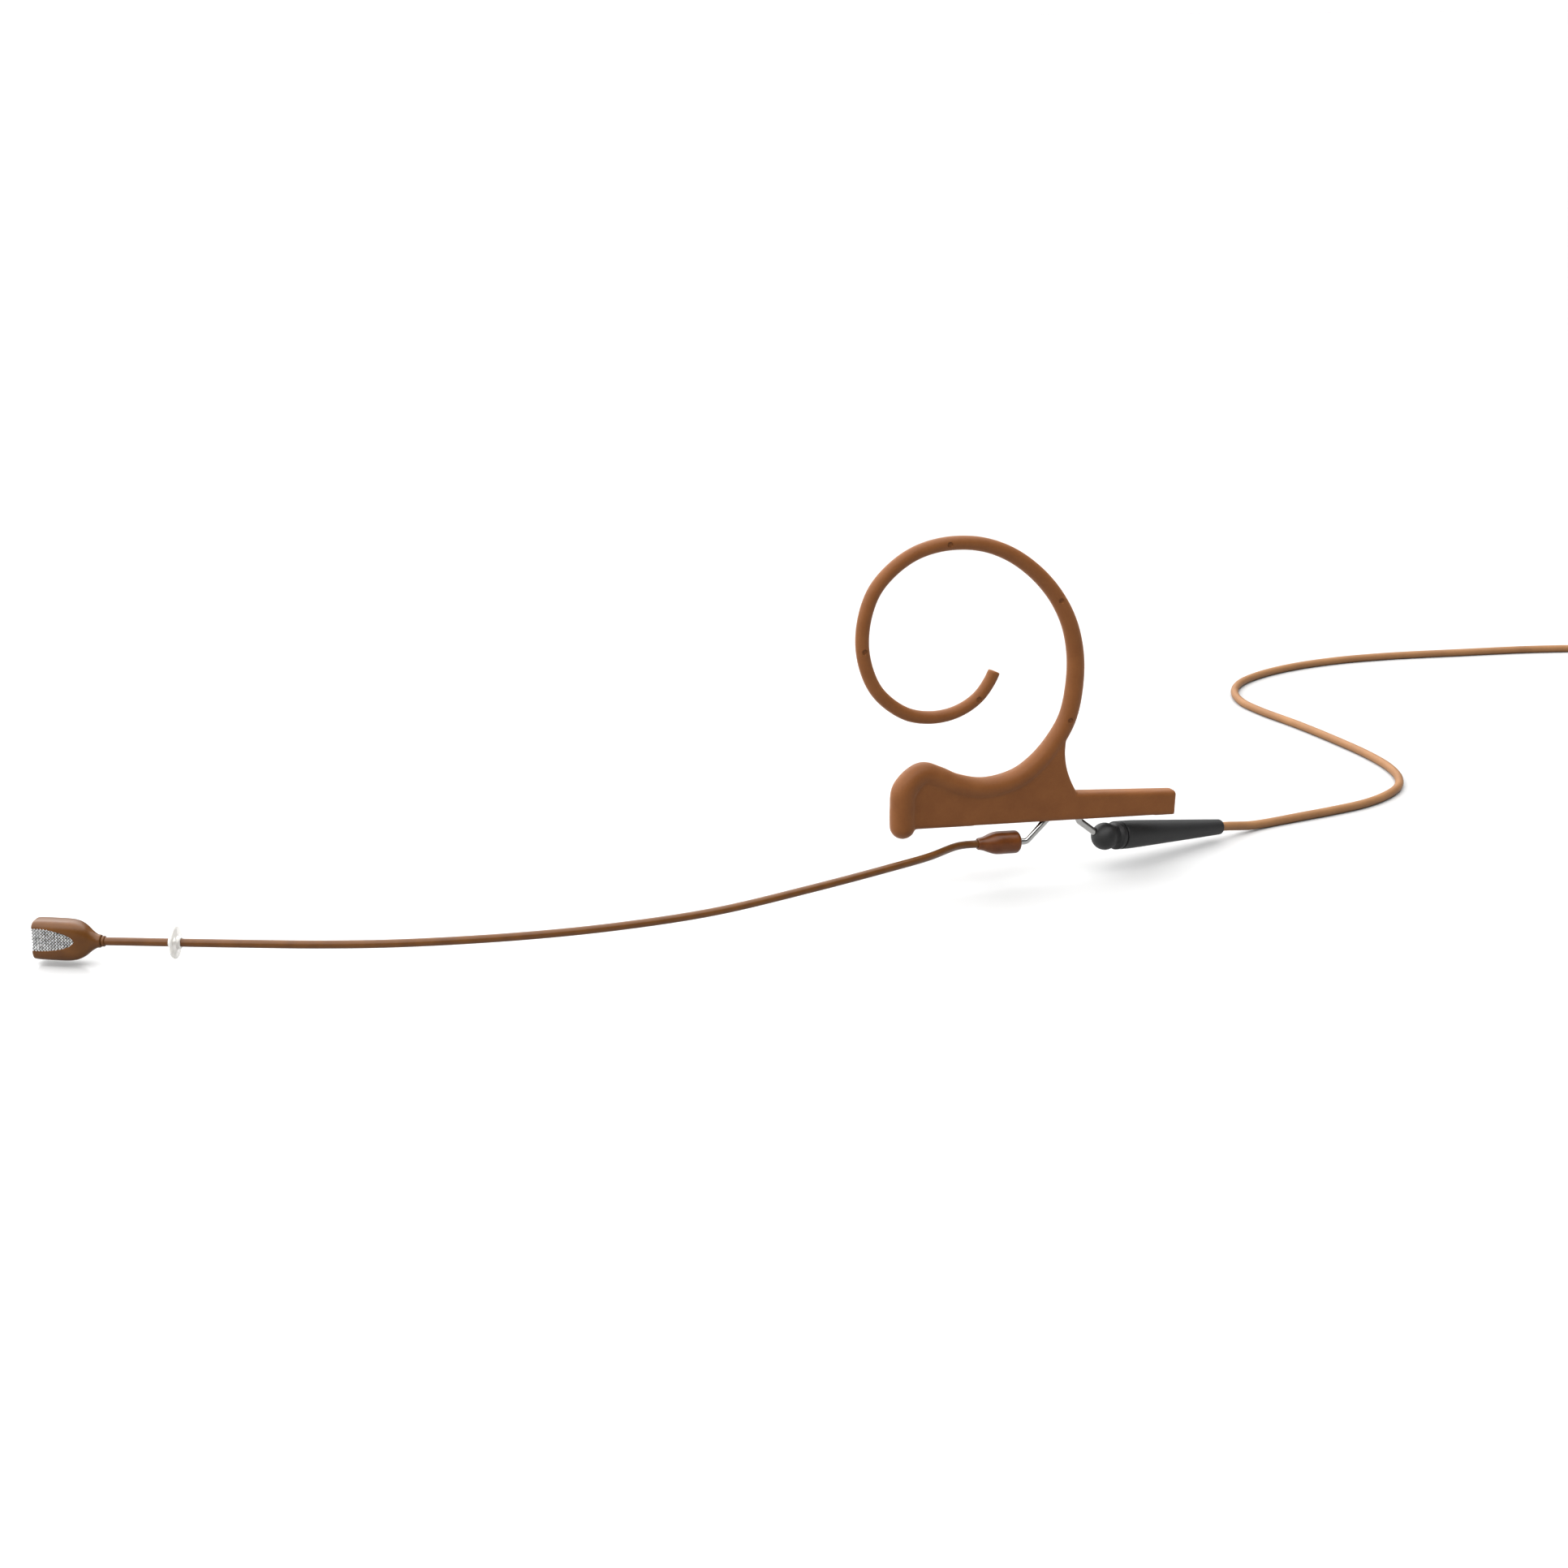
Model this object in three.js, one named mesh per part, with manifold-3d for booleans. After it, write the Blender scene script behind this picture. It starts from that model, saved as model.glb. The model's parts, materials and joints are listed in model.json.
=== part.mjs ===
// Single-ear headset microphone for stage use: a soft ear hook with a slotted rail, a bent steel
// carrier tube held in the rail, a thin boom with a flat microphone capsule at its mouth end, and
// a thin cable that plugs in behind the ear. Millimetres, +Z up, +X towards the back of the head,
// +Y towards the wearer's head. The origin is the centre of the ear loop.

import * as THREE from 'three';
import { mergeVertices } from 'three/addons/utils/BufferGeometryUtils.js';
import Module from 'manifold-3d';

const wasm = await Module();
wasm.setup();

// ---------------------------------------------------------------- driving dimensions

const SURFACE_Z = -39.3;            // table that the cable lies on, below the loop's centre
const RUNNING_GAP = 0.1;            // radial play of a piece that turns or slides on another
const FACE_GAP = 0.3;               // end play between pieces that meet face to face
const SEAT_GAP = 0.12;              // radial play of a piece that is glued or crimped in place

const HOOK_PITCH = THREE.MathUtils.degToRad(3.1);   // rail and carrier dip towards the back
const WEB_THICKNESS = 3.6;          // flat plate under the ear ridge, and the rail
const WEB_EDGE_RADIUS = 0.5;
const RAIL_BOTTOM_Z = -27.9;        // in the hook's own pitched frame
const RAIL_HEIGHT = 4;               // at its rear end
const RAIL_REAR_X = 40.2;
const CORE_RADIUS = 0.45;           // spring wire moulded into the loop
const PIN_MARK_RADIUS = 0.5;        // holes that the mould's locating pins leave

const CARRIER_RADIUS = 0.6;         // bent stainless tube that the hook rides on
const CARRIER_BORE = 0.38;
const CARRIER_AXIS_Z = -31.5;       // where the carrier leaves the coupler, pitched frame
const GRIP_WALL = 0.35;
const GRIP_LENGTH = 2.6;
const GRIP_X = 19.8;                // middle of the carrier's straight stretch
const CHANNEL_DEPTH = 1.65;         // channel axis above the rail's underside
const CHANNEL_LIP = 0.95;           // half width of the slot that keeps the grip sleeve in
const CHANNEL_FRONT_X = 2.4;
const CHANNEL_REAR_X = 36.6;

const BOOM_RADIUS = 0.6;
const BOOM_INSERT = 1.8;            // how far the boom goes into the head
const BOOM_BORE = 0.38;
const LEAD_RADIUS = 0.2;
const COUPLER_RADIUS = 1.95;
const COUPLER_FRONT_X = 3.8;
const COUPLER_LENGTH = 7.65;

const RING_RADIUS = 2.55;           // drip ring that keeps sweat off the capsule
const RING_THICKNESS = 0.6;
const RING_HUB_RADIUS = 1.05;
const RING_HUB_LENGTH = 2.2;
const RING_FROM_HEAD = 12;          // along the boom, from the back of the head

const HEAD_YAW = THREE.MathUtils.degToRad(-30);
const HEAD_LENGTH = 10.6;
const HEAD_HEIGHT = 6.4;
const HEAD_THICKNESS = 4.2;
const HEAD_WALL = 0.5;
const WINDOW_LENGTH = 6.67;
const WINDOW_HEIGHT = 3.6;
const WINDOW_LIFT = 0.3;            // middle of the window above the head's axis
const GRILLE_THICKNESS = 0.25;
const NECK_RADIUS = 1;
const COLLAR_RADIUS = 0.86;
const COLLAR_LENGTH = 0.55;
const COLLAR_GAP = 0.12;            // seam between the collar and the head's neck

const KNUCKLE_X = 27.85;            // centre of the round rear housing, pitched frame
const KNUCKLE_RADIUS = 2.35;
const PLUG_YAW = THREE.MathUtils.degToRad(17.5);
const PLUG_PITCH = THREE.MathUtils.degToRad(7.5);
const COLLAR_END = 3.3;             // seam between the knuckle and the plug sleeve
const SLEEVE_RADIUS = 2.45;
const SLEEVE_TIP_RADIUS = 1.37;
const SLEEVE_END = 29;
const BARREL_RADIUS = 1.25;
const PIN_RADIUS = 0.14;
const CRIMP_WALL = 0.25;

const CABLE_RADIUS = 0.8;
const TURN_PITCH = 1.65;            // spacing of the coil's turns
const COIL_COLUMNS = 5;
const COIL_ROWS = 4;
const COIL_MEAN_RADIUS = 8.8;
const COIL_CENTRE = [197, 72];
const COIL_LIFT = 0.8;              // the tie passes under the coil
const TIE_WIDTH = 3;
const TIE_THICKNESS = 0.5;
const TIE_ANGLE = THREE.MathUtils.degToRad(-120);

const END_RADIUS = 2.4;             // coupling nut of the plug at the cable's far end
const END_POSITION = [209.4, 50.5];
const END_YAW = THREE.MathUtils.degToRad(-96);
const END_BOOT_LENGTH = 11;
const END_NUT_LENGTH = 7;
const END_SHELL_RADIUS = 1.7;

// ---------------------------------------------------------------- materials

const material = (color, roughness, metalness) => (
  new THREE.MeshStandardMaterial({ color, roughness, metalness })
);
const silicone = material(0x93603f, 0.62, 0);
const paintedTube = material(0x7a4a28, 0.38, 0);
const brownPlastic = material(0x6b3d1f, 0.32, 0);
const steel = material(0xc9cbcd, 0.2, 1);
const gold = material(0xd9b25a, 0.25, 1);
const meshMetal = material(0xb9bbbd, 0.35, 1);
const blackRubber = material(0x1c1d1f, 0.55, 0);
const whitePlastic = material(0xe9e6df, 0.45, 0);
const clearSilicone = material(0xdfe4e6, 0.3, 0);
const cableJacket = material(0x9a6a45, 0.5, 0);
const boardGreen = material(0x2f5d3a, 0.6, 0);
const tieFabric = material(0x2a2a2c, 0.8, 0);

// ---------------------------------------------------------------- shape helpers

const microphone = new THREE.Group();

function add(name, geometry, surface, group = microphone) {
  const mesh = new THREE.Mesh(geometry, surface);
  mesh.name = name;
  group.add(mesh);
  return mesh;
}

// A closed three.js geometry as a solid that can be cut and joined.
function toSolid(geometry) {
  const bare = geometry.clone();
  bare.deleteAttribute('normal');
  bare.deleteAttribute('uv');
  const merged = mergeVertices(bare, 1e-5);
  return new wasm.Manifold(new wasm.Mesh({
    numProp: 3,
    vertProperties: new Float32Array(merged.attributes.position.array),
    triVerts: new Uint32Array(merged.index.array),
  }));
}

function toGeometry(solid) {
  const result = solid.getMesh();
  const geometry = new THREE.BufferGeometry();
  geometry.setAttribute('position', new THREE.BufferAttribute(result.vertProperties, 3));
  geometry.setIndex(new THREE.BufferAttribute(result.triVerts, 1));
  return geometry;
}

// A turned piece on the X axis from [x, radius] pairs; the outline closes on itself or the axis.
function turned(outline, segments = 20) {
  const points = outline.map(([x, radius]) => new THREE.Vector2(radius, x));
  const geometry = new THREE.LatheGeometry(points, segments);
  geometry.rotateZ(-Math.PI / 2);
  return toGeometry(toSolid(geometry));
}

// A round rod between two places on the X axis.
function rod(fromX, toX, radius, segments = 16) {
  return turned([[fromX, 0], [fromX, radius], [toX, radius], [toX, 0]], segments);
}

// A plain tube between two places on the X axis.
function pipe(fromX, toX, innerRadius, outerRadius, segments = 20) {
  return turned([
    [fromX, innerRadius], [fromX, outerRadius], [toX, outerRadius], [toX, innerRadius],
    [fromX, innerRadius],
  ], segments);
}

function circle(radius, sides) {
  const shape = new THREE.Shape();
  for (let side = 0; side < sides; side += 1) {
    const angle = (side / sides) * Math.PI * 2;
    const point = [radius * Math.cos(angle), radius * Math.sin(angle)];
    if (side === 0) shape.moveTo(...point);
    else shape.lineTo(...point);
  }
  shape.closePath();
  return shape;
}

// A tube along a curve; with an inner radius it is hollow from end to end.
function alongCurve(curve, outerRadius, sides, steps, innerRadius = 0) {
  const section = circle(outerRadius, sides);
  if (innerRadius > 0) section.holes.push(circle(innerRadius, sides));
  return new THREE.ExtrudeGeometry(section, { steps, extrudePath: curve, bevelEnabled: false });
}

// A path of straight stretches whose corners are rounded.
function roundedPath(corners, radius) {
  const path = new THREE.CurvePath();
  let start = corners[0];
  for (let i = 1; i < corners.length - 1; i += 1) {
    const back = corners[i - 1].clone().sub(corners[i]).normalize();
    const ahead = corners[i + 1].clone().sub(corners[i]).normalize();
    const trim = radius / Math.tan(back.angleTo(ahead) / 2);
    const before = corners[i].clone().addScaledVector(back, trim);
    const after = corners[i].clone().addScaledVector(ahead, trim);
    path.add(new THREE.LineCurve3(start, before));
    path.add(new THREE.QuadraticBezierCurve3(before, corners[i], after));
    start = after;
  }
  path.add(new THREE.LineCurve3(start, corners[corners.length - 1]));
  return path;
}

// An outline in the X-Z plane extruded across Y, centred on Y = 0, with rounded edges.
function plate(shape, thickness, edgeRadius = 0, edgeSteps = 2, curveSegments = 8) {
  const geometry = new THREE.ExtrudeGeometry(shape, {
    depth: thickness - 2 * edgeRadius,
    steps: 1,
    curveSegments,
    bevelEnabled: edgeRadius > 0,
    bevelSize: edgeRadius,
    bevelOffset: -edgeRadius,
    bevelThickness: edgeRadius,
    bevelSegments: edgeSteps,
  });
  geometry.translate(0, 0, -(thickness / 2 - edgeRadius));
  geometry.rotateX(Math.PI / 2);
  return geometry;
}

const at = (x, y, z) => new THREE.Vector3(x, y, z);

// ---------------------------------------------------------------- ear hook

const hook = new THREE.Group();
hook.rotation.y = HOOK_PITCH;
microphone.add(hook);

// The round ridge in one line: foot, hump, saddle, column behind the ear, loop and tail.
// Each entry is x, z and the ridge's radius there.
const RIDGE = [
  [-10.2, -27.6, 2.15], [-10.4, -24.4, 2.15], [-10.2, -21.4, 2.15], [-7.4, -18.8, 1.98],
  [-4.6, -19.5, 1.95], [-1.2, -20.9, 1.92], [4.2, -21.8, 1.9], [10.1, -20.5, 1.85],
  [13.8, -17.9, 1.75], [16.8, -14.3, 1.65], [18.9, -10.2, 1.58], [19.7, -5.3, 1.55],
  [19.5, 0.3, 1.5], [18.0, 5.7, 1.42], [15.3, 10.3, 1.35], [11.5, 14.3, 1.3],
  [6.8, 17.5, 1.25], [2.1, 19.3, 1.2], [-2.4, 19.9, 1.18], [-7.2, 19.5, 1.17],
  [-11.4, 18.1, 1.17], [-15.1, 15.5, 1.17], [-17.8, 12.2, 1.17], [-19.2, 8.0, 1.16],
  [-19.4, 3.4, 1.15], [-18.4, -0.7, 1.14], [-16.5, -4.2, 1.12], [-13.7, -6.8, 1.1],
  [-10.3, -8.6, 1.1], [-6.5, -9.2, 1.08], [-3.0, -8.8, 1.07], [-0.2, -7.7, 1.06],
  [2.1, -6.0, 1.05], [3.6, -4.0, 1.05], [4.6, -1.9, 1.05],
];
const RIDGE_SIDES = 10;
const RIDGE_STEPS = 72;
const ridgeCurve = new THREE.CatmullRomCurve3(RIDGE.map(([x, z]) => at(x, 0, z)), false, 'centripetal');

function ridgeRadius(fraction) {
  const place = ridgeCurve.getUtoTmapping(fraction) * (RIDGE.length - 1);
  const before = Math.min(Math.floor(place), RIDGE.length - 2);
  return THREE.MathUtils.lerp(RIDGE[before][2], RIDGE[before + 1][2], place - before);
}

// A tube of unit radius along the ridge, with each ring then drawn out to its own radius.
function ridge() {
  const geometry = alongCurve(ridgeCurve, 1, RIDGE_SIDES, RIDGE_STEPS);
  const centres = ridgeCurve.getSpacedPoints(RIDGE_STEPS);
  const position = geometry.attributes.position;
  const point = new THREE.Vector3();
  for (let i = 0; i < position.count; i += 1) {
    point.fromBufferAttribute(position, i);
    let ring = 0;
    centres.forEach((centre, index) => {
      if (centre.distanceToSquared(point) < centres[ring].distanceToSquared(point)) ring = index;
    });
    const radius = ridgeRadius(ring / RIDGE_STEPS);
    point.sub(centres[ring]).normalize().multiplyScalar(radius).add(centres[ring]);
    position.setXYZ(i, point.x, point.y, point.z);
  }
  return geometry;
}

// The flat web under the ridge and the rail behind it share one face on each side.
function webOutline() {
  const railTop = RAIL_BOTTOM_Z + RAIL_HEIGHT;
  const corner = 0.8;
  const shape = new THREE.Shape();
  shape.moveTo(-9.5, RAIL_BOTTOM_Z);
  shape.lineTo(RAIL_REAR_X, RAIL_BOTTOM_Z);
  shape.lineTo(RAIL_REAR_X, railTop - corner);
  shape.quadraticCurveTo(RAIL_REAR_X, railTop, RAIL_REAR_X - corner, railTop);
  shape.lineTo(21.4, railTop + 0.6);
  shape.bezierCurveTo(19.6, -20.5, 18.2, -17.4, 18.7, -13.6);
  shape.lineTo(16.8, -14.3);
  shape.lineTo(13.6, -18.2);
  shape.lineTo(10, -20.7);
  shape.lineTo(4.2, -22);
  shape.lineTo(-1.2, -21.1);
  shape.lineTo(-4.6, -19.8);
  shape.lineTo(-7.4, -19.2);
  shape.lineTo(-9.8, -21.2);
  shape.closePath();
  return shape;
}

const channelZ = RAIL_BOTTOM_Z + CHANNEL_DEPTH;
const gripInner = CARRIER_RADIUS + RUNNING_GAP + 0.05;
const gripOuter = gripInner + GRIP_WALL;
const channelRadius = gripOuter + RUNNING_GAP + 0.05;
const coreCurve = new THREE.CatmullRomCurve3(
  RIDGE.slice(7, -1).map(([x, z]) => at(x, 0, z)),
  false,
  'centripetal',
);
const CORE_SIDES = 6;
const CORE_STEPS = 44;

// Where the mould's five locating pins touched the core wire, as fractions of its length.
const PIN_MARKS = [0.118, 0.305, 0.514, 0.733, 0.975];

function earHook() {
  let body = toSolid(ridge());
  const footEnd = new THREE.SphereGeometry(RIDGE[0][2] * 0.995, 16, 12);
  footEnd.translate(RIDGE[0][0], 0, RIDGE[0][1]);
  body = body.add(toSolid(footEnd));
  body = body.add(toSolid(plate(webOutline(), WEB_THICKNESS, WEB_EDGE_RADIUS)));

  const bore = rod(CHANNEL_FRONT_X, CHANNEL_REAR_X, channelRadius / Math.cos(Math.PI / 16), 16);
  bore.translate(0, 0, channelZ);
  const slotLength = CHANNEL_REAR_X - CHANNEL_FRONT_X;
  const slot = new THREE.BoxGeometry(slotLength, 2 * CHANNEL_LIP, CHANNEL_DEPTH + 1);
  slot.translate(CHANNEL_FRONT_X + slotLength / 2, 0, channelZ - (CHANNEL_DEPTH + 1) / 2);
  body = body.subtract(toSolid(bore)).subtract(toSolid(slot));

  const coreRoom = alongCurve(coreCurve, CORE_RADIUS + 0.15, CORE_SIDES, CORE_STEPS);
  body = body.subtract(toSolid(coreRoom));
  PIN_MARKS.forEach((fraction) => {
    const place = coreCurve.getPointAt(fraction);
    const mark = new THREE.CylinderGeometry(PIN_MARK_RADIUS, PIN_MARK_RADIUS, 3, 10);
    mark.translate(place.x, -1.5, place.z);
    body = body.subtract(toSolid(mark));
  });
  return toGeometry(body);
}

add('hook_body', earHook(), silicone, hook);

function hookCore() {
  const trimmed = new THREE.CatmullRomCurve3(
    coreCurve.getSpacedPoints(CORE_STEPS).slice(1, -1),
    false,
    'centripetal',
  );
  return alongCurve(trimmed, CORE_RADIUS, CORE_SIDES, CORE_STEPS - 2);
}
add('hook_core_wire', hookCore(), steel, hook);

// Soft sleeve on the carrier: the rail slides on it, and it turns on the steel.
const gripSleeve = pipe(
  GRIP_X - GRIP_LENGTH / 2,
  GRIP_X + GRIP_LENGTH / 2,
  gripInner / Math.cos(Math.PI / 16),
  gripOuter,
  16,
);
gripSleeve.translate(0, 0, channelZ);
add('grip_sleeve', gripSleeve, blackRubber, hook);

// ---------------------------------------------------------------- carrier and coupler

const carrier = new THREE.Group();
carrier.rotation.y = HOOK_PITCH;
microphone.add(carrier);

const couplerRear = COUPLER_FRONT_X + COUPLER_LENGTH;
const jointX = COUPLER_FRONT_X + 3.9;
const CARRIER_CORNERS = [
  at(jointX + FACE_GAP, 0, CARRIER_AXIS_Z),
  at(couplerRear + 1.45, 0, CARRIER_AXIS_Z),
  at(GRIP_X - 1.8, 0, channelZ),
  at(GRIP_X + 1.8, 0, channelZ),
  at(GRIP_X + 2.95, 0, RAIL_BOTTOM_Z - 0.6),
  at(KNUCKLE_X - 1, 0, CARRIER_AXIS_Z + 0.15),
];
const CARRIER_BEND = 1.1;
const CARRIER_SIDES = 8;
const CARRIER_STEPS = 40;
const carrierPath = roundedPath(CARRIER_CORNERS, CARRIER_BEND);
const carrierTube = alongCurve(
  carrierPath, CARRIER_RADIUS, CARRIER_SIDES, CARRIER_STEPS, CARRIER_BORE,
);
add('carrier_tube', carrierTube, steel, carrier);

function couplerShell() {
  const bore = CARRIER_RADIUS + SEAT_GAP;
  const cavity = bore + 0.45;
  const x0 = COUPLER_FRONT_X;
  return turned([
    [x0, bore], [x0, bore + 0.2], [x0 + 1.1, 1.15], [x0 + 3, COUPLER_RADIUS - 0.08],
    [x0 + 3.6, COUPLER_RADIUS], [couplerRear - 0.8, COUPLER_RADIUS],
    [couplerRear - 0.25, COUPLER_RADIUS - 0.22], [couplerRear, COUPLER_RADIUS - 0.7],
    [couplerRear, bore], [couplerRear - 1.2, bore], [couplerRear - 1.2, cavity],
    [x0 + 1.8, cavity], [x0 + 1.8, bore], [x0, bore],
  ], 20);
}
const coupler = new THREE.Group();
coupler.position.z = CARRIER_AXIS_Z;
carrier.add(coupler);
add('coupler_shell', couplerShell(), brownPlastic, coupler);
add('coupler_bushing', pipe(
  COUPLER_FRONT_X + 1.8 + FACE_GAP,
  couplerRear - 1.2 - FACE_GAP,
  CARRIER_RADIUS + SEAT_GAP,
  CARRIER_RADIUS + SEAT_GAP + 0.3,
  16,
), steel, coupler);

// ---------------------------------------------------------------- boom

carrier.updateMatrix();
const inRow = (x, y, z) => at(x, y, z).applyMatrix4(carrier.matrix);
const headOrigin = at(-140.96, 13.75, -35.3);
const towardsMouth = at(-Math.cos(HEAD_YAW), -Math.sin(HEAD_YAW), 0);

// From inside the coupler, out over the cheek and back in towards the corner of the mouth.
const boomCurve = new THREE.CatmullRomCurve3([
  inRow(jointX, 0, CARRIER_AXIS_Z),
  inRow(COUPLER_FRONT_X, 0, CARRIER_AXIS_Z),
  at(-0.1, -0.15, -31.5),
  at(-2.4, -1.1, -31.3),
  at(-9.7, -6.3, -30.75),
  at(-17.8, -10, -30.5),
  at(-33.4, -13.6, -31.2),
  at(-50.3, -14.6, -32.7),
  at(-66.1, -13.8, -33.45),
  at(-81.1, -11.5, -33.9),
  at(-98, -6.9, -34.35),
  at(-109.6, -2.5, -34.55),
  at(-121.1, 2.7, -34.65),
  at(-130.5, 7.7, -34.9),
  at(-137.3, 11.6, -35.15),
  headOrigin,
  headOrigin.clone().addScaledVector(towardsMouth, BOOM_INSERT),
], false, 'centripetal');
const BOOM_SIDES = 8;
const BOOM_STEPS = 52;
const boomTube = alongCurve(boomCurve, BOOM_RADIUS, BOOM_SIDES, BOOM_STEPS, BOOM_BORE);
add('boom_tube', boomTube, paintedTube);

// The fine screened lead runs through the boom and the carrier, from capsule to socket.
const leadCurve = new THREE.CatmullRomCurve3([
  ...carrierPath.getSpacedPoints(44).reverse().map((point) => inRow(point.x, point.y, point.z)),
  ...boomCurve.getSpacedPoints(70),
  headOrigin.clone().addScaledVector(towardsMouth, BOOM_INSERT + 0.8),
], false, 'centripetal');
const LEAD_STEPS = 130;
add('signal_lead', alongCurve(leadCurve, LEAD_RADIUS, 5, LEAD_STEPS), cableJacket);

// Drip ring, a press-on disc with a short hub.
const boomLength = boomCurve.getLength();
const ringPlace = 1 - (RING_FROM_HEAD + BOOM_INSERT) / boomLength;
const ring = new THREE.Group();
ring.position.copy(boomCurve.getPointAt(ringPlace));
ring.quaternion.setFromUnitVectors(at(1, 0, 0), boomCurve.getTangentAt(ringPlace).negate());
microphone.add(ring);
const ringBore = (BOOM_RADIUS + RUNNING_GAP) / Math.cos(Math.PI / 20);
add('drip_ring', turned([
  [-RING_HUB_LENGTH / 2, ringBore], [-RING_HUB_LENGTH / 2, RING_HUB_RADIUS - 0.1],
  [-RING_THICKNESS / 2, RING_HUB_RADIUS], [-RING_THICKNESS / 2, RING_RADIUS - 0.15],
  [-0.15, RING_RADIUS], [0.15, RING_RADIUS],
  [RING_THICKNESS / 2, RING_RADIUS - 0.15], [RING_THICKNESS / 2, RING_HUB_RADIUS],
  [RING_HUB_LENGTH / 2, RING_HUB_RADIUS - 0.1], [RING_HUB_LENGTH / 2, ringBore],
  [-RING_HUB_LENGTH / 2, ringBore],
], 20), clearSilicone, ring);

// ---------------------------------------------------------------- microphone head

const head = new THREE.Group();
head.position.copy(headOrigin);
head.rotation.z = HEAD_YAW;
microphone.add(head);

// Cross-sections of the shell from the mouth end to the neck: x, how far the section has grown
// from the collar's circle to the full flat shape, and how square it is (2 is an ellipse).
const HEAD_SECTIONS = [
  [-HEAD_LENGTH, 0.9, 4], [-HEAD_LENGTH + 0.25, 0.96, 4], [-HEAD_LENGTH + 2.1, 1, 3.8],
  [-5.6, 1, 3.8], [-4.6, 0.97, 3.7], [-3.5, 0.86, 3.5], [-2.45, 0.62, 3], [-1.5, 0.26, 2.5],
  [-0.64, 0.03, 2.1], [0, 0, 2],
];
const HEAD_SIDES = 24;

function headShell() {
  const steps = HEAD_SECTIONS.length - 1;
  const geometry = new THREE.ExtrudeGeometry(circle(1, HEAD_SIDES), {
    depth: steps, steps, bevelEnabled: false,
  });
  const position = geometry.attributes.position;
  const squared = (value, power) => Math.sign(value) * Math.abs(value) ** (2 / power);
  for (let i = 0; i < position.count; i += 1) {
    const [x, grown, power] = HEAD_SECTIONS[Math.round(position.getZ(i))];
    const halfWidth = THREE.MathUtils.lerp(NECK_RADIUS, HEAD_THICKNESS / 2, grown);
    const halfHeight = THREE.MathUtils.lerp(NECK_RADIUS, HEAD_HEIGHT / 2, grown);
    const y = halfWidth * squared(position.getX(i), power);
    const z = halfHeight * squared(position.getY(i), power);
    position.setXYZ(i, x, y, z);
  }
  return geometry;
}

const collarSpigot = NECK_RADIUS - 0.27;
const cavityHalfWidth = HEAD_THICKNESS / 2 - HEAD_WALL;
const cavityHalfHeight = WINDOW_HEIGHT / 2 + 0.1;
const cavityRear = -3.7;

function capsuleHousing() {
  let shell = toSolid(headShell());
  const cavityLength = HEAD_LENGTH + cavityRear + 1;
  const cavity = new THREE.BoxGeometry(cavityLength, 2 * cavityHalfWidth, 2 * cavityHalfHeight);
  cavity.translate(cavityRear - cavityLength / 2, 0, WINDOW_LIFT);
  shell = shell.subtract(toSolid(cavity));

  const opening = new THREE.Shape();
  opening.moveTo(-HEAD_LENGTH - 1, WINDOW_HEIGHT / 2);
  opening.lineTo(-HEAD_LENGTH - 1, -WINDOW_HEIGHT / 2);
  opening.absellipse(-HEAD_LENGTH, 0, WINDOW_LENGTH, WINDOW_HEIGHT / 2, -Math.PI / 2, Math.PI / 2);
  opening.closePath();
  const openingPlate = plate(opening, HEAD_THICKNESS + 2);
  openingPlate.translate(0, 0, WINDOW_LIFT);
  shell = shell.subtract(toSolid(openingPlate));

  const neckBore = rod(cavityRear - 1, 1, collarSpigot + SEAT_GAP, 16);
  return toGeometry(shell.subtract(toSolid(neckBore)));
}
add('capsule_housing', capsuleHousing(), paintedTube, head);

// Woven wire grille, one strip bent round the front and back along both sides.
function grilleStrip() {
  const outer = cavityHalfWidth - RUNNING_GAP;
  const inner = outer - GRILLE_THICKNESS;
  const front = -HEAD_LENGTH - 0.12;
  const rear = -HEAD_LENGTH + WINDOW_LENGTH + 0.1;
  const bend = 0.8;
  const bendInner = bend - GRILLE_THICKNESS;
  const innerFront = front + GRILLE_THICKNESS;
  const shape = new THREE.Shape();
  shape.moveTo(rear, -outer);
  shape.lineTo(rear, -inner);
  shape.absarc(innerFront + bendInner, -inner + bendInner, bendInner, -Math.PI / 2, -Math.PI, true);
  shape.absarc(innerFront + bendInner, inner - bendInner, bendInner, Math.PI, Math.PI / 2, true);
  shape.lineTo(rear, inner);
  shape.lineTo(rear, outer);
  shape.absarc(front + bend, outer - bend, bend, Math.PI / 2, Math.PI, false);
  shape.absarc(front + bend, -outer + bend, bend, Math.PI, Math.PI * 1.5, false);
  shape.closePath();
  const height = WINDOW_HEIGHT - 2 * RUNNING_GAP;
  const geometry = new THREE.ExtrudeGeometry(shape, {
    depth: height, steps: 1, curveSegments: 4, bevelEnabled: false,
  });
  geometry.translate(0, 0, WINDOW_LIFT - height / 2);
  return geometry;
}
add('capsule_grille', grilleStrip(), meshMetal, head);

const capsuleRadius = cavityHalfWidth - RUNNING_GAP - GRILLE_THICKNESS - 0.2;
const capsuleFront = -HEAD_LENGTH + 0.9;
const capsuleRear = cavityRear - 1.5;
const cartridge = pipe(capsuleFront, capsuleRear, 0.45, capsuleRadius, 16);
cartridge.translate(0, 0, WINDOW_LIFT);
add('capsule_cartridge', cartridge, gold, head);
const boardSide = 1.6 * capsuleRadius;
const board = new THREE.BoxGeometry(0.4, boardSide, boardSide);
board.translate(capsuleRear + FACE_GAP + 0.2, 0, WINDOW_LIFT);
add('capsule_board', board, boardGreen, head);

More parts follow.
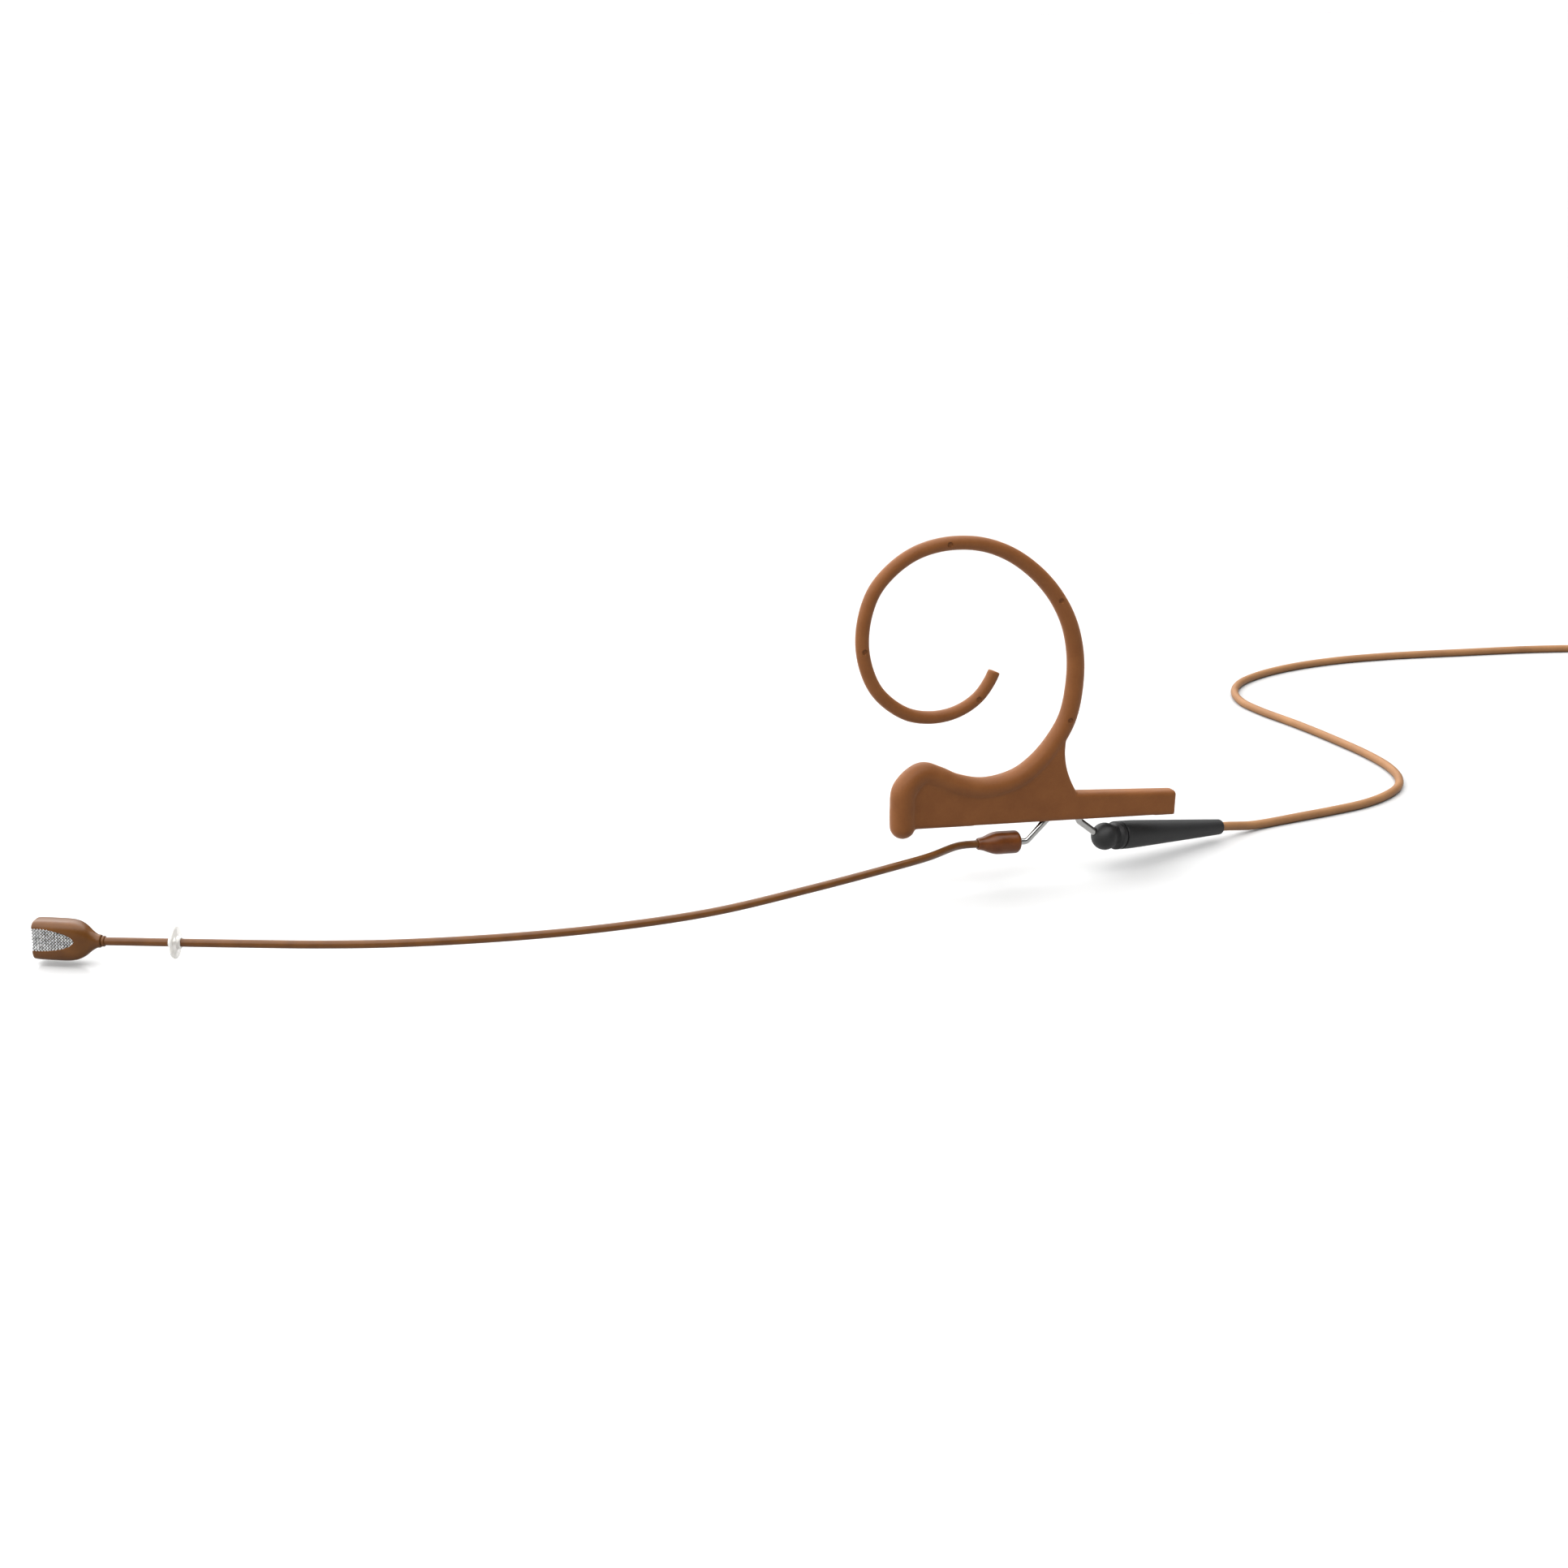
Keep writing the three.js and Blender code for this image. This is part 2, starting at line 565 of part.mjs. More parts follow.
// Collar that joins the boom to the head: a short sleeve with a spigot in the neck.
const collarBore = BOOM_RADIUS + SEAT_GAP;
add('head_collar', turned([
  [-2.4, collarBore], [-2.4, collarSpigot], [COLLAR_GAP, collarSpigot],
  [COLLAR_GAP, COLLAR_RADIUS], [COLLAR_LENGTH - 0.1, COLLAR_RADIUS],
  [COLLAR_LENGTH, COLLAR_RADIUS - 0.1], [COLLAR_LENGTH, collarBore], [-2.4, collarBore],
], 16), brownPlastic, head);

// ---------------------------------------------------------------- rear housing and plug

const plug = new THREE.Group();
plug.position.copy(inRow(KNUCKLE_X, 0, CARRIER_AXIS_Z));
plug.rotation.set(0, PLUG_PITCH, PLUG_YAW, 'ZYX');
microphone.add(plug);
plug.updateMatrix();

const barrelEnd = COLLAR_END + 4;
const barrelSeat = BARREL_RADIUS + SEAT_GAP;
const nutInner = BARREL_RADIUS + RUNNING_GAP + 0.04;
const nutOuter = nutInner + 0.4;
const nutFront = COLLAR_END + FACE_GAP + 0.3;
const nutFlange = barrelEnd + 1.4;
const nutRear = nutFlange + 1.6;
const plugTail = nutRear + 1.6;
const ferruleLength = 3.4;

// Round knuckle, a groove, and the collar that the sleeve runs up to.
function knuckle() {
  const arc = [];
  const from = 0;
  const to = THREE.MathUtils.degToRad(122);
  const count = 7;
  for (let i = 0; i <= count; i += 1) {
    const angle = from + ((to - from) * i) / count;
    arc.push([-KNUCKLE_RADIUS * Math.cos(angle), KNUCKLE_RADIUS * Math.sin(angle)]);
  }
  const shell = turned([
    ...arc,
    [COLLAR_END - 1.2, 1.98], [COLLAR_END - 0.9, 2.3], [COLLAR_END - 0.5, SLEEVE_RADIUS],
    [COLLAR_END, SLEEVE_RADIUS],
    [COLLAR_END, barrelSeat], [-0.4, barrelSeat], [-0.4, 0],
  ], 20);
  const entry = rod(-4, 0.2, CARRIER_RADIUS + SEAT_GAP, 12);
  const last = CARRIER_CORNERS.length - 1;
  const along = CARRIER_CORNERS[last].clone().sub(CARRIER_CORNERS[last - 1]).normalize();
  along.transformDirection(carrier.matrix);
  const turn = new THREE.Quaternion().setFromUnitVectors(at(1, 0, 0), along);
  const point = CARRIER_CORNERS[last].clone().applyMatrix4(carrier.matrix);
  entry.applyMatrix4(new THREE.Matrix4().compose(point, turn, at(1, 1, 1)));
  entry.applyMatrix4(plug.matrix.clone().invert());
  return toGeometry(toSolid(shell).subtract(toSolid(entry)));
}
add('knuckle_housing', knuckle(), blackRubber, plug);

const contactOuter = PIN_RADIUS + 0.2;
const contactInner = PIN_RADIUS + 0.08;
const insulatorRadius = BARREL_RADIUS - 0.4 - SEAT_GAP;
add('socket_barrel', pipe(0.8, barrelEnd, BARREL_RADIUS - 0.4, BARREL_RADIUS), gold, plug);
add('socket_insulator', pipe(2, COLLAR_END + 2, contactOuter + SEAT_GAP, insulatorRadius, 16),
  whitePlastic, plug);
add('socket_contact', pipe(1.4, COLLAR_END + 1.6, contactInner, contactOuter, 12), gold, plug);

// Coupling nut, turned with the sleeve; its rear flange pulls the plug body in.
const bodyRadius = BARREL_RADIUS - 0.2;
const flangeInner = bodyRadius + RUNNING_GAP + 0.04;
add('coupling_nut', turned([
  [nutFront, nutInner], [nutFront, nutOuter], [nutRear, nutOuter], [nutRear, flangeInner],
  [nutFlange, flangeInner], [nutFlange, nutInner], [nutFront, nutInner],
], 24), gold, plug);
const sleeveBore = Math.max(bodyRadius, CABLE_RADIUS + 0.1 + CRIMP_WALL) + 0.15;
add('plug_sleeve', turned([
  [COLLAR_END + FACE_GAP, nutOuter + SEAT_GAP], [COLLAR_END + FACE_GAP, SLEEVE_RADIUS],
  [COLLAR_END + 3, SLEEVE_RADIUS], [SLEEVE_END - 0.25, SLEEVE_TIP_RADIUS],
  [SLEEVE_END, SLEEVE_TIP_RADIUS - 0.2],
  [SLEEVE_END, CABLE_RADIUS + 0.15], [plugTail + ferruleLength + 1.2, CABLE_RADIUS + 0.15],
  [plugTail + ferruleLength + 0.6, sleeveBore], [nutRear + 0.6, sleeveBore],
  [nutRear + 0.3, nutOuter + SEAT_GAP], [COLLAR_END + FACE_GAP, nutOuter + SEAT_GAP],
], 24), blackRubber, plug);

// Fixed half of the plug: flanged body, insulator, pin, and the crimp on the cable.
add('plug_body', turned([
  [barrelEnd + FACE_GAP, 0.62], [barrelEnd + FACE_GAP, BARREL_RADIUS],
  [nutFlange - 0.25, BARREL_RADIUS], [nutFlange - 0.25, bodyRadius], [plugTail, bodyRadius],
  [plugTail, 0.62], [barrelEnd + FACE_GAP, 0.62],
], 20), gold, plug);
const pinRear = plugTail - 0.6;
add('plug_insulator', pipe(barrelEnd + 0.6, plugTail - 1, PIN_RADIUS + 0.08, 0.5, 12),
  whitePlastic, plug);
add('plug_pin', rod(COLLAR_END - 0.5, pinRear, PIN_RADIUS, 10), gold, plug);
const cableStart = plugTail + FACE_GAP;
const crimpInner = CABLE_RADIUS + 0.1;
add('crimp_ferrule', pipe(
  cableStart, cableStart + ferruleLength, crimpInner, crimpInner + CRIMP_WALL, 16,
), steel, plug);
add('cable_in_sleeve', rod(cableStart, SLEEVE_END, CABLE_RADIUS, 8), cableJacket, plug);

// ---------------------------------------------------------------- cable

const CABLE_SIDES = 8;
const CABLE_Z = SURFACE_Z + CABLE_RADIUS;
const inPlug = (x) => at(x, 0, 0).applyMatrix4(plug.matrix);

// Down from the sleeve to the table, one loose bend out and one back, then on to the coil.
const cableCurve = new THREE.CatmullRomCurve3([
  inPlug(SLEEVE_END + FACE_GAP),
  inPlug(SLEEVE_END + 2.2),
  at(58.2, 10.25, -37.55),
  at(62, 11.7, -38.25),
  at(66.5, 12.8, CABLE_Z),
  at(73, 13.9, CABLE_Z),
  at(81, 15.2, CABLE_Z),
  at(88.5, 16.9, CABLE_Z),
  at(95, 19.8, CABLE_Z),
  at(100.6, 24, CABLE_Z),
  at(104.6, 29.8, CABLE_Z),
  at(107, 37, CABLE_Z),
  at(108.1, 46, CABLE_Z),
  at(108.1, 58, CABLE_Z),
  at(107.4, 71, CABLE_Z),
  at(106.1, 83, CABLE_Z),
  at(106.2, 91, CABLE_Z),
  at(108.6, 98.5, CABLE_Z),
  at(113.4, 105.2, CABLE_Z),
  at(120.5, 110.3, CABLE_Z),
  at(131, 114.4, CABLE_Z),
  at(143.5, 116.4, CABLE_Z),
  at(157, 116, CABLE_Z),
  at(175, 113, CABLE_Z),
  at(193, 109.5, CABLE_Z),
  at(204, 105.6, CABLE_Z),
  at(210.5, 99, CABLE_Z),
  at(212.9, 91, CABLE_Z),
  at(213, 84, CABLE_Z),
  at(212.2, 78, CABLE_Z),
], false, 'centripetal');
add('cable_run', alongCurve(cableCurve, CABLE_RADIUS, CABLE_SIDES, 68), cableJacket);

// The rest of the cable is wound up for storage and held by a tie.
const coilHalfWidth = (COIL_COLUMNS * TURN_PITCH) / 2;
const coilInner = COIL_MEAN_RADIUS - coilHalfWidth;
const coilOuter = COIL_MEAN_RADIUS + coilHalfWidth;
const coilHeight = COIL_ROWS * TURN_PITCH;
const coilBottom = SURFACE_Z + COIL_LIFT;
const coilRing = new THREE.LatheGeometry([
  new THREE.Vector2(coilInner, 0), new THREE.Vector2(coilOuter, 0),
  new THREE.Vector2(coilOuter, coilHeight), new THREE.Vector2(coilInner, coilHeight),
  new THREE.Vector2(coilInner, 0),
], 40);
coilRing.rotateX(Math.PI / 2);
coilRing.translate(COIL_CENTRE[0], COIL_CENTRE[1], coilBottom);
add('cable_coil', toGeometry(toSolid(coilRing)), cableJacket);

function coilTie() {
  const nearRadius = Math.sqrt(coilInner ** 2 - (TIE_WIDTH / 2) ** 2) - FACE_GAP;
  const farRadius = coilOuter + FACE_GAP;
  const low = coilBottom - FACE_GAP;
  const high = coilBottom + coilHeight + FACE_GAP;
  const loop = (grow) => {
    const outline = new THREE.Shape();
    outline.moveTo(nearRadius - grow, low - grow);
    outline.lineTo(farRadius + grow, low - grow);
    outline.lineTo(farRadius + grow, high + grow);
    outline.lineTo(nearRadius - grow, high + grow);
    outline.closePath();
    return outline;
  };
  const strap = loop(TIE_THICKNESS);
  strap.holes.push(loop(0));
  const geometry = plate(strap, TIE_WIDTH);
  geometry.rotateZ(TIE_ANGLE);
  geometry.translate(COIL_CENTRE[0], COIL_CENTRE[1], 0);
  return geometry;
}
add('coil_tie', coilTie(), tieFabric);

// ---------------------------------------------------------------- plug at the far end

const end = new THREE.Group();
end.position.set(END_POSITION[0], END_POSITION[1], SURFACE_Z + END_RADIUS);
end.rotation.z = END_YAW;
microphone.add(end);
end.updateMatrix();

const bootRear = 0;
const bootFront = END_BOOT_LENGTH;
const endNutRear = bootFront + FACE_GAP;
const endNutFront = endNutRear + END_NUT_LENGTH;
const endFace = endNutFront + 0.5;
const shellInner = END_SHELL_RADIUS - 0.35;
const stepRadius = END_SHELL_RADIUS - 0.4;
add('end_boot', turned([
  [bootRear, CABLE_RADIUS + 0.15], [bootRear, 1.2], [bootRear + 0.3, 1.35],
  [bootFront - 3, 2.05], [bootFront, 2.05], [bootFront, stepRadius + SEAT_GAP],
  [bootFront - 4.2, stepRadius + SEAT_GAP], [bootFront - 4.2, CABLE_RADIUS + 0.15],
  [bootRear, CABLE_RADIUS + 0.15],
], 20), blackRubber, end);
add('end_shell', turned([
  [bootFront - 3.8, CABLE_RADIUS + 0.1], [bootFront - 3.8, stepRadius], [endNutRear + 0.9, stepRadius],
  [endNutRear + 0.9, END_SHELL_RADIUS], [endFace, END_SHELL_RADIUS], [endFace, shellInner],
  [endNutRear + 1.4, shellInner], [endNutRear + 1.4, CABLE_RADIUS + 0.1],
  [bootFront - 3.8, CABLE_RADIUS + 0.1],
], 24), gold, end);
const endNutBore = (END_SHELL_RADIUS + RUNNING_GAP) / Math.cos(Math.PI / 24);
const endNutThroat = (stepRadius + RUNNING_GAP) / Math.cos(Math.PI / 24);
add('end_nut', turned([
  [endNutRear, endNutThroat], [endNutRear, END_RADIUS - 0.25], [endNutRear + 0.4, END_RADIUS],
  [endNutFront - 0.4, END_RADIUS], [endNutFront, END_RADIUS - 0.25], [endNutFront, endNutBore],
  [endNutRear + 0.7, endNutBore], [endNutRear + 0.7, endNutThroat], [endNutRear, endNutThroat],
], 24), steel, end);
add('end_insulator', pipe(
  endNutRear + 1.7, endFace - 1.6, PIN_RADIUS + 0.16, shellInner - SEAT_GAP, 16,
), whitePlastic, end);
add('end_pin', rod(endNutRear + 1.2, endFace - 0.4, PIN_RADIUS + 0.06, 10), gold, end);

// Short lead from the coil's top turn down to the far plug.
const inEnd = (x) => at(x, 0, 0).applyMatrix4(end.matrix);
const tailCurve = new THREE.CatmullRomCurve3([
  at(211.3, 66, CABLE_Z + 3.4),
  at(210.6, 61.5, CABLE_Z + 2.6),
  at(210, 57, CABLE_Z + 1.9),
  inEnd(bootRear - 1.5),
  inEnd(bootFront - 4.4),
], false, 'centripetal');
add('cable_tail', alongCurve(tailCurve, CABLE_RADIUS, CABLE_SIDES, 12), cableJacket);

export default microphone;
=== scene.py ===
import json
import math

import bmesh
import bpy
import numpy as np
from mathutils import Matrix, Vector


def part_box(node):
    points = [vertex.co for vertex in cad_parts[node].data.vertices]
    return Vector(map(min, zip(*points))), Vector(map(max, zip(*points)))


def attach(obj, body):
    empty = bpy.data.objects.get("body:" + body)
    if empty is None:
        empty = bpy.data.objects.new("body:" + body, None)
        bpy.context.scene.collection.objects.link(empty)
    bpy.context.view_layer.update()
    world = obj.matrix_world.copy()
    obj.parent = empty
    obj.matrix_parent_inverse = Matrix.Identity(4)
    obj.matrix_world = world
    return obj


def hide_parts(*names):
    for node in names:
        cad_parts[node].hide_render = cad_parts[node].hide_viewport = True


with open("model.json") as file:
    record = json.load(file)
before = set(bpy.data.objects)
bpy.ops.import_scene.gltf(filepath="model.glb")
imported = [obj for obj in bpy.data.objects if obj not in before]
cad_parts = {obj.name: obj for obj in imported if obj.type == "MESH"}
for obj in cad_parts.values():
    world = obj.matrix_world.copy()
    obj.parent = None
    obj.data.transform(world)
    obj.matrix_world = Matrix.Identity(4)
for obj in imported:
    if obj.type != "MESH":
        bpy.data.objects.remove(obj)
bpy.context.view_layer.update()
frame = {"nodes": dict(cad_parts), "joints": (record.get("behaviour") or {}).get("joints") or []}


# ---------------------------------------------------------------- camera
# A product camera with a short telephoto lens, a little above the table, looking across the
# headset from in front of the wearer's cheek. It aims at a point on the table behind the hook.
SURFACE_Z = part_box("cable_coil")[0][2] - 0.0008
AIM = (-0.0052, 0.0707, SURFACE_Z)
AZIMUTH = math.radians(-21.3)
ELEVATION = math.radians(16)
DISTANCE = 0.540
LENS_MM = 65.2
SENSOR_MM = 36

camera_data = bpy.data.cameras.new("camera")
camera_data.lens = LENS_MM
camera_data.sensor_width = SENSOR_MM
camera_data.clip_start = 0.01
camera = bpy.data.objects.new("camera", camera_data)
bpy.context.scene.collection.objects.link(camera)
camera.rotation_euler = (math.pi / 2 - ELEVATION, 0, AZIMUTH)
camera.location = (
    AIM[0] + DISTANCE * math.cos(ELEVATION) * math.sin(AZIMUTH),
    AIM[1] - DISTANCE * math.cos(ELEVATION) * math.cos(AZIMUTH),
    AIM[2] + DISTANCE * math.sin(ELEVATION),
)
bpy.context.scene.camera = camera


# ---------------------------------------------------------------- ear hook
# One soft loop that goes round the ear, moulded in mid-brown silicone over a spring wire. A flat
# web under the ridge carries a slotted rail, and five small round marks show on the outer side
# where pins held the wire in the mould.
HOOK_PITCH = math.radians(3.1)
WEB_THICKNESS = 0.0028
WEB_EDGE = 0.0008
RAIL_BOTTOM = -0.0281
RAIL_TOP = -0.0237
RAIL_REAR = 0.0406
CHANNEL_Z = -0.02625
CHANNEL_RADIUS = 0.00125
CHANNEL_LIP = 0.00095
CHANNEL_FRONT, CHANNEL_REAR = 0.0024, 0.0366
PIN_MARK_RADIUS = 0.00052
PIN_MARK_DEPTH = 0.00034
# The ridge in one line, in millimetres: x, z and the ridge's radius there.
RIDGE = np.array([
    (-10.2, -27.6, 2.15), (-10.4, -24.4, 2.15), (-10.2, -21.4, 2.15), (-7.4, -18.8, 1.98),
    (-4.6, -19.5, 1.95), (-1.2, -20.9, 1.92), (4.2, -21.8, 1.9), (10.1, -20.5, 1.85),
    (13.8, -17.9, 1.75), (16.8, -14.3, 1.65), (18.9, -10.2, 1.58), (19.7, -5.3, 1.55),
    (19.5, 0.3, 1.5), (18.0, 5.7, 1.42), (15.3, 10.3, 1.35), (11.5, 14.3, 1.3),
    (6.8, 17.5, 1.25), (2.1, 19.3, 1.2), (-2.4, 19.9, 1.18), (-7.2, 19.5, 1.17),
    (-11.4, 18.1, 1.17), (-15.1, 15.5, 1.17), (-17.8, 12.2, 1.17), (-19.2, 8.0, 1.16),
    (-19.4, 3.4, 1.15), (-18.4, -0.7, 1.14), (-16.5, -4.2, 1.12), (-13.7, -6.8, 1.1),
    (-10.3, -8.6, 1.1), (-6.5, -9.2, 1.08), (-3.0, -8.8, 1.07), (-0.2, -7.7, 1.06),
    (2.1, -6.0, 1.05), (3.6, -4.0, 1.05), (4.6, -1.9, 1.05),
]) / 1000


def even(curve, spacing):
    """The same line with its points a constant distance apart along it. Columns after the third
    are values that go with the points, and are shared out in the same way."""
    length = np.concatenate([[0], np.cumsum(np.linalg.norm(np.diff(curve[:, :3], axis=0), axis=1))])
    count = max(2, int(round(length[-1] / spacing)) + 1)
    places = np.linspace(0, length[-1], count)
    return np.stack([np.interp(places, length, column) for column in curve.T], axis=1)


def curve_through(points, spacing):
    """A smooth curve through the points: cubic pieces whose slope at each point is that of the
    parabola through it and its two neighbours, with the square root of each chord as parameter.
    The curve is then divided into equal lengths of about the spacing."""
    points = np.asarray(points, float)
    chord = np.linalg.norm(np.diff(points[:, :3], axis=0), axis=1)
    knots = np.concatenate([[0], np.cumsum(np.sqrt(chord))])
    step = np.diff(knots)[:, None]
    slope = np.diff(points, axis=0) / step
    middle = (slope[:-1] * step[1:] + slope[1:] * step[:-1]) / (step[:-1] + step[1:])
    tangent = np.vstack([2 * slope[:1] - middle[:1], middle, 2 * slope[-1:] - middle[-1:]])
    fine = np.linspace(0, knots[-1], 60 * len(points))
    piece = np.clip(np.searchsorted(knots, fine, side="right") - 1, 0, len(points) - 2)
    width = (knots[piece + 1] - knots[piece])[:, None]
    t = ((fine - knots[piece])[:, None]) / width
    curve = (
        (2 * t**3 - 3 * t**2 + 1) * points[piece]
        + (t**3 - 2 * t**2 + t) * width * tangent[piece]
        + (3 * t**2 - 2 * t**3) * points[piece + 1]
        + (t**3 - t**2) * width * tangent[piece + 1]
    )
    return even(curve, spacing)


def rounded(corners, sizes, steps=5):
    """A line of straight stretches with its corners rounded: each corner gives way to a parabola
    that leaves one side and meets the other the given distance from the corner."""
    corners = np.asarray(corners, float)
    sizes = np.broadcast_to(sizes, len(corners))
    t = np.linspace(0, 1, steps)[:, None]
    pieces = [corners[:1]]
    for before, here, after, size in zip(corners, corners[1:], corners[2:], sizes[1:]):
        start = here + (before - here) * min(0.49, size / max(1e-9, np.linalg.norm(before - here)))
        stop = here + (after - here) * min(0.49, size / max(1e-9, np.linalg.norm(after - here)))
        pieces.append((1 - t) ** 2 * start + 2 * t * (1 - t) * here + t**2 * stop)
    return np.vstack(pieces + [corners[-1:]])


def carried(path, outline, reference=(0.0, 0.0, 1.0)):
    """An outline carried along a path. outline is (rings or 1, points, 2): distances across and
    along the reference direction. Each ring lies square to the path at its point."""
    tangent = np.gradient(path, axis=0)
    tangent /= np.linalg.norm(tangent, axis=1, keepdims=True)
    across = np.cross(tangent, np.asarray(reference, float))
    across /= np.linalg.norm(across, axis=1, keepdims=True)
    along = np.cross(across, tangent)
    outline = np.broadcast_to(outline, (len(path),) + outline.shape[1:])
    return (
        path[:, None, :]
        + outline[:, :, 0, None] * across[:, None, :]
        + outline[:, :, 1, None] * along[:, None, :]
    )


def round_outline(radius, sides):
    """A circle for each radius given, as (rings, sides, 2)."""
    angle = np.arange(sides) * (2 * np.pi / sides)
    circle = np.stack([np.cos(angle), np.sin(angle)], axis=1)
    return np.reshape(radius, (-1, 1, 1)) * circle


def solid(name, vertices, faces, sharp_above=50):
    """A closed mesh object from points and faces, turned so that its faces point outwards, with
    smooth shading that breaks only at edges sharper than the angle, in degrees."""
    mesh = bpy.data.meshes.new(name)
    mesh.from_pydata(np.asarray(vertices, float).tolist(), [], faces)
    form = bmesh.new()
    form.from_mesh(mesh)
    if form.calc_volume(signed=True) < 0:
        mesh.flip_normals()
    form.free()
    made = bpy.data.objects.new(name, mesh)
    bpy.context.scene.collection.objects.link(made)
    soften(made, sharp_above)
    return made


def soften(obj, sharp_above):
    """Smooth shading that breaks only at edges sharper than the angle, in degrees."""
    obj.data.polygons.foreach_set("use_smooth", np.ones(len(obj.data.polygons), bool))
    obj.data.set_sharp_from_angle(angle=math.radians(sharp_above))
    obj.data.update()


def skin(name, rows, ring=False, sharp_above=50):
    """A closed mesh over a grid of points (rings, around, 3). Neighbouring rings are joined by
    quads. The ends are closed by a fan to their middles, or to each other when it is a ring."""
    rows = np.asarray(rows, float)
    rings, around = rows.shape[:2]
    vertices = rows.reshape(-1, 3)
    i, j = np.arange(rings if ring else rings - 1)[:, None], np.arange(around)[None, :]
    k, upper = (j + 1) % around, (i + 1) % rings * around
    faces = np.stack([i * around + j, i * around + k, upper + k, upper + j], axis=-1)
    faces = faces.reshape(-1, 4).tolist()
    if not ring:
        vertices = np.vstack([vertices, rows[0].mean(axis=0), rows[-1].mean(axis=0)])
        j, k, base = j[0], k[0], (rings - 1) * around
        first, last = np.full(around, rings * around), np.full(around, rings * around + 1)
        faces += np.stack([first, k, j], axis=1).tolist()
        faces += np.stack([last, base + j, base + k], axis=1).tolist()
    return solid(name, vertices, faces, sharp_above)


def finished(obj):
    """The piece with its modifiers worked out and taken into its mesh."""
    bpy.context.view_layer.update()
    graph = bpy.context.evaluated_depsgraph_get()
    mesh = bpy.data.meshes.new_from_object(obj.evaluated_get(graph))
    obj.modifiers.clear()
    old = obj.data
    obj.data = mesh
    bpy.data.meshes.remove(old)
    return obj


def cut(obj, *cutters):
    """Takes the cutters' shapes away from a piece, then removes the cutters."""
    for cutter in cutters:
        removal = obj.modifiers.new(cutter.name, "BOOLEAN")
        removal.operation = "DIFFERENCE"
        removal.solver = "EXACT"
        removal.object = cutter
    finished(obj)
    for cutter in cutters:
        bpy.data.objects.remove(cutter)
    return obj


def shown(obj, body, slot, *nodes):
    """Ties a finished piece to its CAD body and hides the nodes it stands for. The slot argument is
    not used.
    """
    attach(obj, body)
    if nodes:
        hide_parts(*nodes)
    return obj


def linear(code):
    """An sRGB colour such as "#8a6642" as linear red, green, blue and full alpha."""
    values = np.array([int(code[i:i + 2], 16) for i in (1, 3, 5)]) / 255
    curved = np.where(values > 0.04045, ((values + 0.055) / 1.055) ** 2.4, values / 12.92)
    return (*curved.tolist(), 1.0)


def add(tree, kind, inputs=None, **settings):
    """Adds a node with its settings. Each input is a value, or an output that is linked to it."""
    made = tree.nodes.new(kind)
    for name, value in settings.items():
        setattr(made, name, value)
    for name, value in (inputs or {}).items():
        if isinstance(value, bpy.types.NodeSocket):
            tree.links.new(value, made.inputs[name])
        else:
            made.inputs[name].default_value = value
    return made


def material(name, **values):
    """A material with a plain surface shader, its values set on the shader's own sockets."""
    made = bpy.data.materials.new(name)
    made.use_nodes = True
    shader = made.node_tree.nodes["Principled BSDF"]
    for key, value in values.items():
        shader.inputs[key.replace("_", " ")].default_value = value
    return made, made.node_tree, shader


def cloudy(name, scale, detail=2.0, dull=None, tones=None, at=(0.3, 0.75), fleck=None,
           relief=None, **values):
    """A material whose colour and gloss drift together over the piece. A noise of the scale, in
    waves a metre, and detail runs the colour between two tones, reached where the noise is at two
    levels, and the roughness between the two values of dull. fleck is a finer noise that is added
    for the colour: its scale, detail and share. relief is one for the bump: its scale, detail,
    strength and depth in metres."""
    made, tree, shader = material(name, **values)
    where = add(tree, "ShaderNodeTexCoord").outputs["Object"]

    def noise(fineness, layers):
        """The value of a noise with the fineness and number of layers given."""
        inputs = {"Vector": where, "Scale": fineness, "Detail": layers}
        return add(tree, "ShaderNodeTexNoise", inputs).outputs["Fac"]

    cloud = noise(scale, detail)
    level = cloud
    if fleck:
        inputs = {0: noise(*fleck[:2]), 1: fleck[2], 2: cloud}
        level = add(tree, "ShaderNodeMath", inputs, operation="MULTIPLY_ADD").outputs[0]
    if tones:
        ramp = add(tree, "ShaderNodeValToRGB", {"Fac": level})
        for stop, place, tone in zip(ramp.color_ramp.elements, at, tones):
            stop.position = place
            stop.color = linear(tone)
        tree.links.new(ramp.outputs["Color"], shader.inputs["Base Color"])
    if dull:
        spread = add(tree, "ShaderNodeMapRange", {"Value": cloud, 3: dull[0], 4: dull[1]})
        tree.links.new(spread.outputs["Result"], shader.inputs["Roughness"])
    if relief:
        inputs = {"Height": noise(*relief[:2]), "Strength": relief[2], "Distance": relief[3]}
        bump = add(tree, "ShaderNodeBump", inputs)
        tree.links.new(bump.outputs["Normal"], shader.inputs["Normal"])
    return made


def in_hook(points):
    """Points of the hook's own pitched frame as row points: a turn about Y."""
    points = np.asarray(points, float)
    x, y, z = points[..., 0], points[..., 1], points[..., 2]
    cosine, sine = math.cos(HOOK_PITCH), math.sin(HOOK_PITCH)
    return np.stack([x * cosine + z * sine, y, -x * sine + z * cosine], axis=-1)


